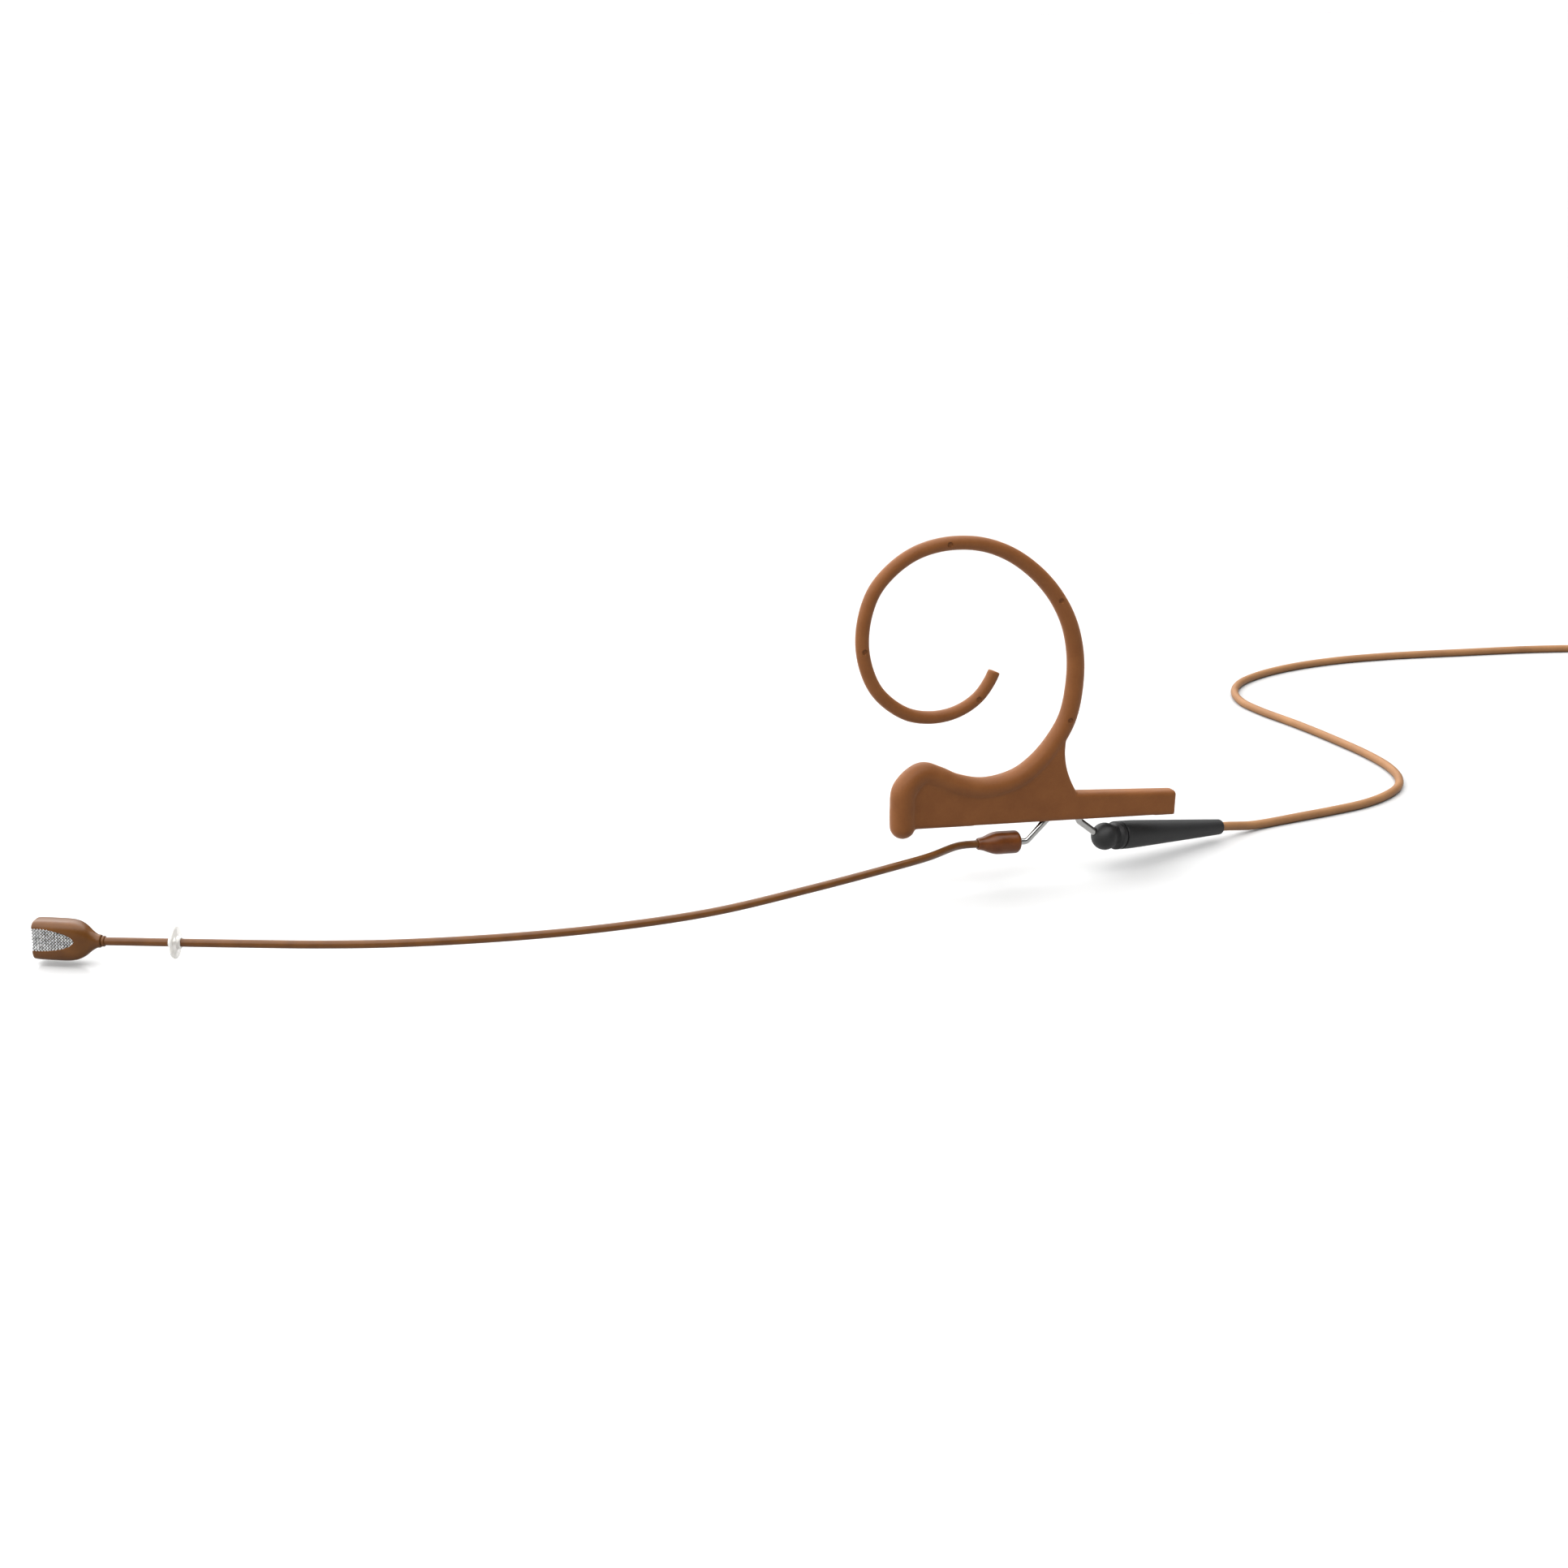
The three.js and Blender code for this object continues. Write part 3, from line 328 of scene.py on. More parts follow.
def slab(name, outline, low, high, edge=0.0, steps=4):
    """A flat plate over a closed outline in x and z, from low to high in y. Its rims are quarter
    circles of the edge radius: each ring is the outline moved in along the mean of the two
    sides' normals by what the quarter circle gives there."""
    outline = np.asarray(outline, float)
    side = outline - np.roll(outline, 1, axis=0)
    side /= np.linalg.norm(side, axis=1, keepdims=True)
    normal = np.stack([-side[:, 1], side[:, 0]], axis=1)
    inward = normal + np.roll(normal, -1, axis=0)
    inward /= np.maximum(0.5, (inward**2).sum(axis=1, keepdims=True) / 2)
    angle = np.linspace(np.pi / 2, 0, steps)
    move = edge * (1 - np.cos(np.concatenate([angle, angle[::-1]])))
    across = edge * (1 - np.sin(angle))
    across = np.concatenate([low + across, high - across[::-1]])
    rows = np.zeros((2 * steps, len(outline), 3))
    rows[:, :, [0, 2]] = outline + inward * move[:, None, None]
    rows[:, :, 1] = across[:, None]
    around = len(outline)
    i, j = np.arange(2 * steps - 1)[:, None] * around, np.arange(around)[None, :]
    k = (j + 1) % around
    faces = np.stack([i + j, i + k, i + around + k, i + around + j], axis=-1).reshape(-1, 4)
    ends = [list(range(around))[::-1], list(range((2 * steps - 1) * around, 2 * steps * around))]
    return solid(name, rows.reshape(-1, 3), faces.tolist() + ends)


def placed(obj, place):
    """Moves a piece's mesh: place turns an array of points into the array of their new places."""
    points = np.empty(len(obj.data.vertices) * 3)
    obj.data.vertices.foreach_get("co", points)
    obj.data.vertices.foreach_set("co", place(points.reshape(-1, 3)).reshape(-1))
    obj.data.update()
    return obj


def turned(name, profile, centre, axis, sides=64, ring=False, sharp_above=50):
    """A piece turned on a lathe: each profile entry is a distance along the axis from the centre
    and a radius, and becomes a circle there. A ring's profile joins up with itself."""
    profile = np.asarray(profile, float)
    axis = np.asarray(axis, float) / np.linalg.norm(axis)
    across = np.cross(axis, (0.0, 0.0, 1.0) if abs(axis[2]) < 0.9 else (1.0, 0.0, 0.0))
    across /= np.linalg.norm(across)
    along = np.cross(across, axis)
    circle = round_outline(1.0, sides)[0]
    spokes = circle[:, :1] * across + circle[:, 1:] * along
    middle = np.asarray(centre, float) + profile[:, :1] * axis
    return skin(name, middle[:, None, :] + profile[:, 1, None, None] * spokes, ring, sharp_above)


def upright(line):
    """Rows of x, z and radius as rows of x, y, z and radius, with y at 0."""
    return np.insert(line, 1, 0.0, axis=1)


def ridge_of_hook():
    """The round ridge: a circle of changing radius carried along the ridge's line. The foot end
    is drawn on by one radius in a half circle, and the tail is cut square with a small rim."""
    line = curve_through(upright(RIDGE), 0.00025)
    foot = line[0, 3]
    turn = np.linspace(np.pi / 2, 0.06, 12)[::-1]
    start = np.repeat(line[:1], len(turn), axis=0)
    start[:, 2] -= foot * np.cos(turn)
    start[:, 3] = foot * np.sin(turn)
    rim = 0.0002
    turn = np.linspace(0, np.pi / 2, 6)[1:]
    onward = line[-1, :3] - line[-2, :3]
    onward /= np.linalg.norm(onward)
    stop = np.repeat(line[-1:], len(turn), axis=0)
    stop[:, :3] += onward * rim * np.sin(turn)[:, None]
    stop[:, 3] -= rim * (1 - np.cos(turn))
    line = np.vstack([start[:-1], line, stop])
    return skin("ridge", carried(line[:, :3], round_outline(line[:, 3], 40), (0.0, 1.0, 0.0)))


def web_of_hook():
    """The web and the rail in one plate. Its upper edge hides inside the ridge, and a bezier
    curve leads from the rail's top up into the column behind the ear."""
    t = np.linspace(0, 1, 16)[:, None]
    throat = (
        (1 - t) ** 3 * np.array([0.0214, RAIL_TOP + 0.0006])
        + 3 * (1 - t) ** 2 * t * np.array([0.0196, -0.0205])
        + 3 * (1 - t) * t**2 * np.array([0.0182, -0.0174])
        + t**3 * np.array([0.0187, -0.0136])
    )
    rail = rounded(
        [(-0.0095, RAIL_BOTTOM), (RAIL_REAR, RAIL_BOTTOM), (RAIL_REAR, RAIL_TOP), throat[0]],
        [0, 0.0002, 0.0009, 0], 9,
    )
    hidden = np.array([
        (0.0168, -0.0143), (0.0136, -0.0182), (0.0100, -0.0207), (0.0042, -0.0220),
        (-0.0012, -0.0211), (-0.0046, -0.0198), (-0.0074, -0.0192), (-0.0098, -0.0212),
    ])
    outline = np.vstack([rail[:-1], throat, hidden])
    return slab("web", outline, -WEB_THICKNESS / 2, WEB_THICKNESS / 2, WEB_EDGE)


web = web_of_hook()
channel = turned(
    "channel", [(CHANNEL_FRONT, CHANNEL_RADIUS), (CHANNEL_REAR, CHANNEL_RADIUS)],
    (0, 0, CHANNEL_Z), (1, 0, 0), 32,
)
slot_outline = [
    (CHANNEL_FRONT, RAIL_BOTTOM - 0.001), (CHANNEL_REAR, RAIL_BOTTOM - 0.001),
    (CHANNEL_REAR, CHANNEL_Z), (CHANNEL_FRONT, CHANNEL_Z),
]
cut(web, channel, slab("slot", slot_outline, -CHANNEL_LIP, CHANNEL_LIP))

# Ridge and web become one skin on a fine grid, then the inner corner between them is eased.
ear_hook = ridge_of_hook()
ear_hook.name = "ear_hook"
joined = ear_hook.modifiers.new("joined", "BOOLEAN")
joined.operation = "UNION"
joined.solver = "EXACT"
joined.object = web
grid = ear_hook.modifiers.new("grid", "REMESH")
grid.mode = "VOXEL"
grid.voxel_size = 0.00019
ease = ear_hook.modifiers.new("ease", "SMOOTH")
ease.factor = 0.5
ease.iterations = 4
finished(ear_hook)
bpy.data.objects.remove(web)

# The marks of the locating pins, shallow round dents on the outer side. Each is a share of the
# way along the wire.
PIN_MARKS = (0.118, 0.305, 0.514, 0.733, 0.975)
core_line = curve_through(upright(RIDGE[7:-1]), 0.0001)
marks = core_line[[int(round(fraction * (len(core_line) - 1))) for fraction in PIN_MARKS]]
cut(ear_hook, *[
    turned(
        "pin", [
            (-0.001, PIN_MARK_RADIUS * 1.1), (-0.0001, PIN_MARK_RADIUS * 1.02),
            (PIN_MARK_DEPTH * 0.7, PIN_MARK_RADIUS * 0.9), (PIN_MARK_DEPTH, PIN_MARK_RADIUS * 0.7),
        ],
        (x, -radius, z), (0, 1, 0), 28,
    )
    for x, y, z, radius in marks
])
placed(ear_hook, in_hook)
soften(ear_hook, 48)

# Silicone, compression moulded in a blasted mould: matt, with a very fine grain, a slightly
# cloudy brown and a pale, broad sheen where the light falls on it.
# The mould's blasted texture is about 0.03 mm, drawn at 0.12 mm so that it shows.
silicone = cloudy(
    "moulded_silicone", 260.0, 4.0, dull=(0.44, 0.56), tones=("#5c3619", "#653d1e"),
    at=(0.45, 0.95), fleck=(2600.0, 3.0, 0.45), relief=(8300.0, 2.0, 0.22, 0.00006),
    IOR=1.42, Specular_IOR_Level=0.16, Sheen_Weight=0.45, Sheen_Roughness=0.35,
    Sheen_Tint=linear("#e0b08c"),
)
ear_hook.data.materials.clear()
ear_hook.data.materials.append(silicone)
shown(ear_hook, "ear_hook", "silicone_brown", "hook_body")

# The wire inside the hook is hard-drawn spring steel: bright, with fine lines left by the die
# that run round it, too fine to show and so drawn at 0.2 mm.
spring_steel = cloudy(
    "drawn_spring_steel", 5000.0, dull=(0.22, 0.4), Base_Color=linear("#b9b7b2"), Metallic=1.0,
)
frame["nodes"]["hook_core_wire"].data.materials[0] = spring_steel


# ---------------------------------------------------------------- grip sleeve and carrier tube
# A short ribbed sleeve of soft plastic grips the carrier tube and slides in the hook's rail. The
# carrier is a thin stainless tube, bent twice down from the sleeve, and joins coupler and socket.
GRIP_X = 0.0198
GRIP_LENGTH, GRIP_RADIUS, GRIP_BORE, GRIP_RIBS = 0.0026, 0.0011, 0.00075, 5
CARRIER_Z = -0.0315
CARRIER_RADIUS, TUBE_BORE = 0.0006, 0.00038

t = np.linspace(0, 1, 61)
waves = GRIP_RADIUS - 0.00006 * (1 - np.cos(2 * np.pi * GRIP_RIBS * t))
inside = np.full(2, GRIP_BORE)
grip_profile = np.stack([
    GRIP_LENGTH * (np.concatenate([t, [1, 0]]) - 0.5), np.concatenate([waves, inside]),
], axis=1)
rail_grip = turned(
    "rail_grip", grip_profile, (GRIP_X, 0, CHANNEL_Z), (1, 0, 0), 40, ring=True,
)
placed(rail_grip, in_hook)

# Soft PVC, moulded: dark brown, smooth to the touch, with the faint ripple of a soft moulding.
soft_plastic = cloudy(
    "soft_brown_pvc", 3000.0, dull=(0.4, 0.55), Base_Color=linear("#3a2417"), IOR=1.5,
)
rail_grip.data.materials.append(soft_plastic)
shown(rail_grip, "grip_sleeve", "soft_sleeve", "grip_sleeve")


def pipe(name, path, radius, bore, sides=32, reference=(0.0, 0.0, 1.0)):
    """A bent tube with a real wall: the outer circle is carried along the path and the bore's
    circle is carried back, so that both ends close in a flat ring."""
    outer = carried(path, round_outline(radius, sides), reference)
    inner = carried(path, round_outline(bore, sides), reference)
    return skin(name, np.vstack([outer, inner[::-1]]), ring=True)


carrier_corners = np.array([
    (8.0, 0, -31.5), (12.9, 0, -31.5), (18.0, 0, -26.25), (21.6, 0, -26.25), (22.75, 0, -28.5),
    (26.85, 0, -31.35),
]) / 1000
carrier_line = rounded(carrier_corners, [0, 0.00046, 0.00046, 0.00067, 0.00028, 0], 9)
carrier_path = in_hook(even(carrier_line, 0.00014))
carrier = pipe("carrier", carrier_path, CARRIER_RADIUS, TUBE_BORE, 32, (0.0, 1.0, 0.0))

# Stainless steel tube, centreless ground and polished: bright and smooth, with faint streaks.
stainless = cloudy(
    "polished_stainless", 4000.0, 3.0, dull=(0.1, 0.18), Base_Color=linear("#989795"),
    Metallic=1.0,
)
carrier.data.materials.append(stainless)
shown(carrier, "boom_set", "stainless_tube", "carrier_tube")


# ---------------------------------------------------------------- coupler
# A short brown barrel that joins boom and carrier, moulded in nylon over a brass bushing. It
# swells from the boom towards the back, and its rear edge is well rounded.
COUPLER_FRONT, COUPLER_LENGTH = 0.0038, 0.00765
COUPLER_BORE, COUPLER_CAVITY = 0.00072, 0.00117
swell = curve_through(np.array([
    (0.12, 0.0, 1.0), (0.5, 0.0, 1.06), (1.1, 0.0, 1.2), (2.0, 0.0, 1.55), (2.9, 0.0, 1.84),
    (3.7, 0.0, 1.95), (5.0, 0.0, 1.95), (6.85, 0.0, 1.95),
]), 0.12)[:, [0, 2]]
turn = np.linspace(0, np.pi / 2, 9)[1:]
rear_edge = np.stack([6.85 + 0.78 * np.sin(turn), 1.25 + 0.7 * np.cos(turn)], axis=1)
front_edge = np.array([(0.0, 0.72), (0.0, 0.86), (0.04, 0.93)])
outside = np.vstack([front_edge, swell, rear_edge]) / 1000
inside = np.array([
    (COUPLER_LENGTH, COUPLER_BORE), (COUPLER_LENGTH - 0.0012, COUPLER_BORE),
    (COUPLER_LENGTH - 0.0012, COUPLER_CAVITY), (0.0018, COUPLER_CAVITY), (0.0018, COUPLER_BORE),
])
coupler = turned(
    "coupler", np.vstack([outside, inside]), (COUPLER_FRONT, 0, CARRIER_Z), (1, 0, 0), 72,
    ring=True, sharp_above=35,
)
placed(coupler, in_hook)

# Nylon, injection moulded and polished on the outside: dark brown, with a soft gloss and the
# slow ripple of a small moulding.
nylon = cloudy(
    "moulded_brown_nylon", 700.0, 3.0, dull=(0.26, 0.4), tones=("#4a2408", "#582e0c"),
    relief=(1800.0, 1.0, 0.2, 0.00008), IOR=1.53, Specular_IOR_Level=0.2,
)
coupler.data.materials.append(nylon)
shown(coupler, "boom_set", "coupler_plastic", "coupler_shell")

# The bushing inside, and later the crimp and the connector's nut, are nickel-plated brass: a
# warm silver, bright, with light wear in patches of about half a millimetre.
nickel = cloudy(
    "nickel_plated_brass", 1900.0, 4.0, dull=(0.18, 0.34), tones=("#a8a39a", "#c9c5bd"),
    at=(0.35, 0.65), Metallic=1.0,
)
frame["nodes"]["coupler_bushing"].data.materials[0] = nickel


# ---------------------------------------------------------------- boom and signal lead
# A thin steel tube, bent to follow the cheek and painted brown. Its rear end sits in the
# coupler's bushing and its front end in the microphone head. The lead runs inside it.
BOOM_RADIUS = 0.00065
HEAD_PLACE = np.array([-0.14096, 0.01375, -0.0353])
HEAD_TURN = math.radians(-30)
TOWARDS_MOUTH = np.array([-math.cos(HEAD_TURN), -math.sin(HEAD_TURN), 0.0])
boom_start = in_hook(np.array([(7.7, 0, -31.5), (3.8, 0, -31.5)]) / 1000)
boom_bends = np.array([
    (-0.1, -0.15, -31.5), (-2.4, -1.1, -31.3), (-9.7, -6.3, -30.75), (-17.8, -10, -30.5),
    (-33.4, -13.6, -31.2), (-50.3, -14.6, -32.7), (-66.1, -13.8, -33.45), (-81.1, -11.5, -33.9),
    (-98, -6.9, -34.35), (-109.6, -2.5, -34.55), (-121.1, 2.7, -34.65), (-130.5, 7.7, -34.9),
    (-137.3, 11.6, -35.15),
]) / 1000
boom_line = curve_through(
    np.vstack([boom_start, boom_bends, HEAD_PLACE, HEAD_PLACE + 0.0018 * TOWARDS_MOUTH]), 0.0005,
)
boom = pipe("boom", boom_line, BOOM_RADIUS, TUBE_BORE)

# Baked enamel on steel, sprayed: satin brown, with a fine orange peel and slightly uneven colour.
enamel = cloudy(
    "baked_brown_enamel", 420.0, 4.0, dull=(0.26, 0.36), tones=("#4a2b0e", "#563411"),
    relief=(2600.0, 1.0, 0.2, 0.00005), IOR=1.5, Specular_IOR_Level=0.2,
)
boom.data.materials.append(enamel)
shown(boom, "boom_set", "boom_paint", "boom_tube")


# ---------------------------------------------------------------- drip ring
# A small clear silicone washer with a hub, pushed onto the boom just behind the head. It stops
# sweat that runs along the boom, and slides when it is pushed.
RING_RADIUS, RING_HALF, HUB_RADIUS, HUB_HALF, RING_BORE = 2.55, 0.28, 1.05, 0.95, 0.72
ring_joint = next(joint for joint in frame["joints"] if joint["name"] == "drip_ring_slide")
ring_place = np.mean(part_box("drip_ring"), axis=0)
turn = np.linspace(-np.pi / 2, np.pi / 2, 13)
ring_profile = np.vstack([
    [(-HUB_HALF, RING_BORE), (-HUB_HALF, HUB_RADIUS - 0.12), (-HUB_HALF + 0.12, HUB_RADIUS)],
    [(-RING_HALF - 0.12, HUB_RADIUS + 0.02), (-RING_HALF, HUB_RADIUS + 0.18)],
    np.stack([RING_HALF * np.sin(turn), RING_RADIUS - 0.3 + 0.3 * np.cos(turn)], axis=1),
    [(RING_HALF, HUB_RADIUS + 0.18), (RING_HALF + 0.12, HUB_RADIUS + 0.02)],
    [(HUB_HALF - 0.12, HUB_RADIUS), (HUB_HALF, HUB_RADIUS - 0.12), (HUB_HALF, RING_BORE)],
]) / 1000
clear_ring = turned(
    "clear_ring", ring_profile, ring_place, ring_joint["axis"], 72, ring=True,
)

# Clear silicone rubber, moulded: milky white where it is thick, with a wet-looking surface.
clear_silicone = cloudy(
    "clear_silicone", 1500.0, 3.0, dull=(0.1, 0.2), Base_Color=linear("#e8e6e2"), IOR=1.41,
    Transmission_Weight=0.62,
)
clear_ring.data.materials.append(clear_silicone)
shown(clear_ring, "drip_ring", "drip_ring_clear", "drip_ring")


# ---------------------------------------------------------------- head shell
# The microphone head: a flat, drop-shaped shell moulded in one piece and painted like the boom,
# with a window from its front edge on both sides, where the grille shows.
HEAD_LENGTH, HEAD_HEIGHT, HEAD_THICKNESS, NECK_RADIUS = 10.6, 6.4, 4.2, 1.0
WINDOW_LENGTH, WINDOW_HEIGHT, WINDOW_LIFT = 6.67, 3.6, 0.3
# Each section: its place along the head, how far it has grown from the neck, and its squareness.
HEAD_SECTIONS = np.array([
    (-10.7, 0, 0.885, 4), (-10.66, 0, 0.925, 4), (-10.52, 0, 0.953, 4), (-10.2, 0, 0.975, 4),
    (-9.6, 0, 0.992, 3.9), (-8.5, 0, 1, 3.8), (-7.0, 0, 1, 3.8), (-5.6, 0, 0.995, 3.8),
    (-4.6, 0, 0.97, 3.7), (-3.5, 0, 0.86, 3.5), (-2.45, 0, 0.62, 3), (-1.5, 0, 0.27, 2.5),
    (-0.64, 0, 0.04, 2.1), (-0.06, 0, 0, 2), (0, 0, -0.05, 2),
])


def on_head(points):
    """Points of the head's own frame, in millimetres, as row points: a turn about Z and a move."""
    points = np.asarray(points, float) / 1000
    x, y, z = points[..., 0], points[..., 1], points[..., 2]
    cosine, sine = math.cos(HEAD_TURN), math.sin(HEAD_TURN)
    return HEAD_PLACE + np.stack([x * cosine - y * sine, x * sine + y * cosine, z], axis=-1)


def head_form(name):
    """The drop: sections are superellipses, whose half sizes grow from the neck's radius to half
    the head's, and whose squareness changes along the head."""
    along = curve_through(HEAD_SECTIONS, 0.09)
    x, grown, power = along[:, 0, None], along[:, 2, None], along[:, 3, None]
    angle = np.arange(96) * (2 * np.pi / 96)
    cosine, sine = np.cos(angle), np.sin(angle)
    reach = (np.abs(cosine) ** power + np.abs(sine) ** power) ** (-1 / power)
    wide = NECK_RADIUS + (HEAD_THICKNESS / 2 - NECK_RADIUS) * grown
    tall = NECK_RADIUS + (HEAD_HEIGHT / 2 - NECK_RADIUS) * grown
    rows = np.stack([x + 0 * reach, wide * reach * cosine, tall * reach * sine], axis=-1)
    return skin(name, rows)


CAVITY_HALF_WIDTH, CAVITY_HALF_HEIGHT, CAVITY_REAR = 1.6, 1.9, -3.7
NECK_BORE = 0.78
PAST_FRONT = -12.0
head_shell = head_form("head_shell")
turn = np.linspace(-np.pi / 2, np.pi / 2, 49)
window = np.stack([
    -HEAD_LENGTH + WINDOW_LENGTH * np.cos(turn), WINDOW_LIFT + WINDOW_HEIGHT / 2 * np.sin(turn),
], axis=1)
window = np.vstack([window, [(PAST_FRONT, window[-1, 1]), (PAST_FRONT, window[0, 1])]])
cavity_low, cavity_high = WINDOW_LIFT - CAVITY_HALF_HEIGHT, WINDOW_LIFT + CAVITY_HALF_HEIGHT
cavity = slab("cavity", [
    (PAST_FRONT, cavity_low), (CAVITY_REAR, cavity_low), (CAVITY_REAR, cavity_high),
    (PAST_FRONT, cavity_high),
], -CAVITY_HALF_WIDTH, CAVITY_HALF_WIDTH)
neck_bore = turned(
    "neck_bore", [(CAVITY_REAR - 0.3, NECK_BORE), (0.5, NECK_BORE)], (0, 0, 0), (1, 0, 0), 40,
)
cut(head_shell, slab("window", window, -4, 4), cavity, neck_bore)
grid = head_shell.modifiers.new("grid", "REMESH")
grid.mode = "VOXEL"
grid.voxel_size = 0.075
ease = head_shell.modifiers.new("ease", "SMOOTH")
ease.factor = 0.5
ease.iterations = 3
finished(head_shell)
placed(head_shell, on_head)
soften(head_shell, 50)
head_shell.data.materials.append(enamel)
shown(head_shell, "boom_set", "head_paint", "capsule_housing")


# ---------------------------------------------------------------- grille and capsule
# A strip of fine woven wire, bent round the front of the capsule with its wires on the slant. Its
# edges are held inside the shell's wall. Behind it stands the small brass capsule on its board.
WIRE_PITCH, WIRE_RADIUS, WIRE_SIDES = 0.35, 0.085, 6
GRILLE_HALF_WIDTH, GRILLE_FRONT, GRILLE_REAR, GRILLE_BEND = 1.86, -10.86, -3.83, 0.85
GRILLE_HALF_HEIGHT = 1.9
CUT_LENGTH, CUT_HEIGHT = WINDOW_LENGTH + 0.12, WINDOW_HEIGHT / 2 + 0.12
WINDOW_FRONT = HEAD_LENGTH - CUT_LENGTH
turn = np.linspace(0, np.pi / 2, 16)
bend = np.stack([
    GRILLE_FRONT + GRILLE_BEND * (1 - np.sin(turn)),
    -GRILLE_HALF_WIDTH + GRILLE_BEND * (1 - np.cos(turn)),
], axis=1)
strip = np.vstack([[(GRILLE_REAR, -GRILLE_HALF_WIDTH)], bend, bend[::-1] * (1, -1),
                   [(GRILLE_REAR, GRILLE_HALF_WIDTH)]])
strip_at = np.concatenate([[0], np.cumsum(np.linalg.norm(np.diff(strip, axis=0), axis=1))])
strip_normal = np.gradient(strip, axis=0)
strip_normal = np.stack([strip_normal[:, 1], -strip_normal[:, 0]], axis=1)
strip_normal /= np.linalg.norm(strip_normal, axis=1, keepdims=True)


def slanting_wires(lean, rings=56):
    """All the wires that lean one way, as (wires, rings, sides, 3). A wire climbs the strip at 45
    degrees, and weaves in and out by a cosine of its place between the wires that cross it."""
    step = WIRE_PITCH * math.sqrt(2)
    reach = 2 * GRILLE_HALF_HEIGHT
    number = np.arange(math.ceil(-reach / step), int((strip_at[-1] + reach) / step) + 1)
    at_middle = number * step
    low = np.maximum(-GRILLE_HALF_HEIGHT, np.where(lean > 0, -at_middle, at_middle - strip_at[-1]))
    high = np.minimum(GRILLE_HALF_HEIGHT, np.where(lean > 0, strip_at[-1] - at_middle, at_middle))
    # Towards its ends the strip is cut to a half ellipse, a little larger than the window. Along
    # a wire that is a quadratic in its height, whose two roots limit it.
    near = at_middle < strip_at[-1] / 2
    depth = np.maximum(0, CUT_LENGTH + GRILLE_REAR + WINDOW_FRONT - np.where(
        near, at_middle, strip_at[-1] - at_middle,
    ))
    side = np.where(near, lean, -lean)
    squares = 1 / CUT_LENGTH**2 + 1 / CUT_HEIGHT**2
    half = side * depth / CUT_LENGTH**2
    under = half**2 - squares * (depth**2 / CUT_LENGTH**2 - 1)
    root = np.sqrt(np.maximum(0, under))
    low, high = np.maximum(low, (half - root) / squares), np.minimum(high, (half + root) / squares)
    kept = high - low > WIRE_PITCH
    at_middle, low, high, number = at_middle[kept], low[kept], high[kept], number[kept]
    height = low[:, None] + (high - low)[:, None] * np.linspace(0, 1, rings)
    along = at_middle[:, None] + lean * height
    crossing = (along + lean * height) / step
    swing = lean * WIRE_RADIUS * np.cos(np.pi * (crossing + number[:, None]))
    x, y = (np.interp(along, strip_at, column) for column in strip.T)
    out_x, out_y = (np.interp(along, strip_at, column) for column in strip_normal.T)
    outwards = np.stack([out_x, out_y, 0 * out_x], axis=-1)
    line = np.stack([x, y, WINDOW_LIFT + height], axis=-1) + swing[..., None] * outwards
    tangent = np.gradient(line, axis=1)
    tangent /= np.linalg.norm(tangent, axis=-1, keepdims=True)
    across = np.cross(tangent, outwards)
    across /= np.linalg.norm(across, axis=-1, keepdims=True)
    upwards = np.cross(across, tangent)
    circle = round_outline(WIRE_RADIUS, WIRE_SIDES)[0]
    return (
        line[:, :, None] + circle[:, :1] * across[:, :, None] + circle[:, 1:] * upwards[:, :, None]
    )


def woven(name, wires):
    """One mesh of many closed wires from points as (wires, rings, sides, 3)."""
    count, rings, sides = wires.shape[:3]
    start = (np.arange(count) * rings * sides)[:, None, None]
    i, j = np.arange(rings - 1)[None, :, None] * sides, np.arange(sides)[None, None, :]
    k = (j + 1) % sides
    walls = np.stack([start + i + j, start + i + k, start + i + sides + k, start + i + sides + j],
                     axis=-1).reshape(-1, 4)
    rim = np.arange(sides)[None, :] + start[:, 0]
    ends = np.vstack([rim[:, ::-1], rim + (rings - 1) * sides])
    return solid(name, wires.reshape(-1, 3), walls.tolist() + ends.tolist(), 80)


grille = woven("woven_grille", on_head(np.vstack([slanting_wires(1.0), slanting_wires(-1.0)])))

# Stainless wire cloth: bright silver with darker spots where the wires rub each other.
wire_cloth = cloudy(
    "stainless_wire_cloth", 2200.0, dull=(0.28, 0.42), tones=("#8e8e8e", "#c4c4c4"),
    at=(0.35, 0.6), Metallic=1.0,
)
grille.data.materials.append(wire_cloth)
shown(grille, "boom_set", "grille_mesh", "capsule_grille")

# Gold flash over nickel, on every contact part: warm yellow, bright, slightly cloudy.
gold = cloudy(
    "gold_flashed_brass", 1200.0, 4.0, dull=(0.16, 0.3), tones=("#c79a4c", "#e3bf73"),
    at=(0.3, 0.7), Metallic=1.0,
)
for node in ("socket_barrel", "socket_contact", "plug_body", "plug_pin",
             "coupling_nut", "end_shell", "end_pin"):
    frame["nodes"][node].data.materials[0] = gold

# The capsule's gold is drawn duller than the contacts', and darker as painted shade: the dark
# colour stands for the shade inside the head behind the grille, so that the grille's holes look
# dark.
capsule_gold_painted_shade = cloudy(
    "gold_brass_painted_shade", 1500.0, 3.0, dull=(0.45, 0.6), Base_Color=linear("#6d5428"),
    Metallic=1.0,
)
frame["nodes"]["capsule_cartridge"].data.materials[0] = capsule_gold_painted_shade

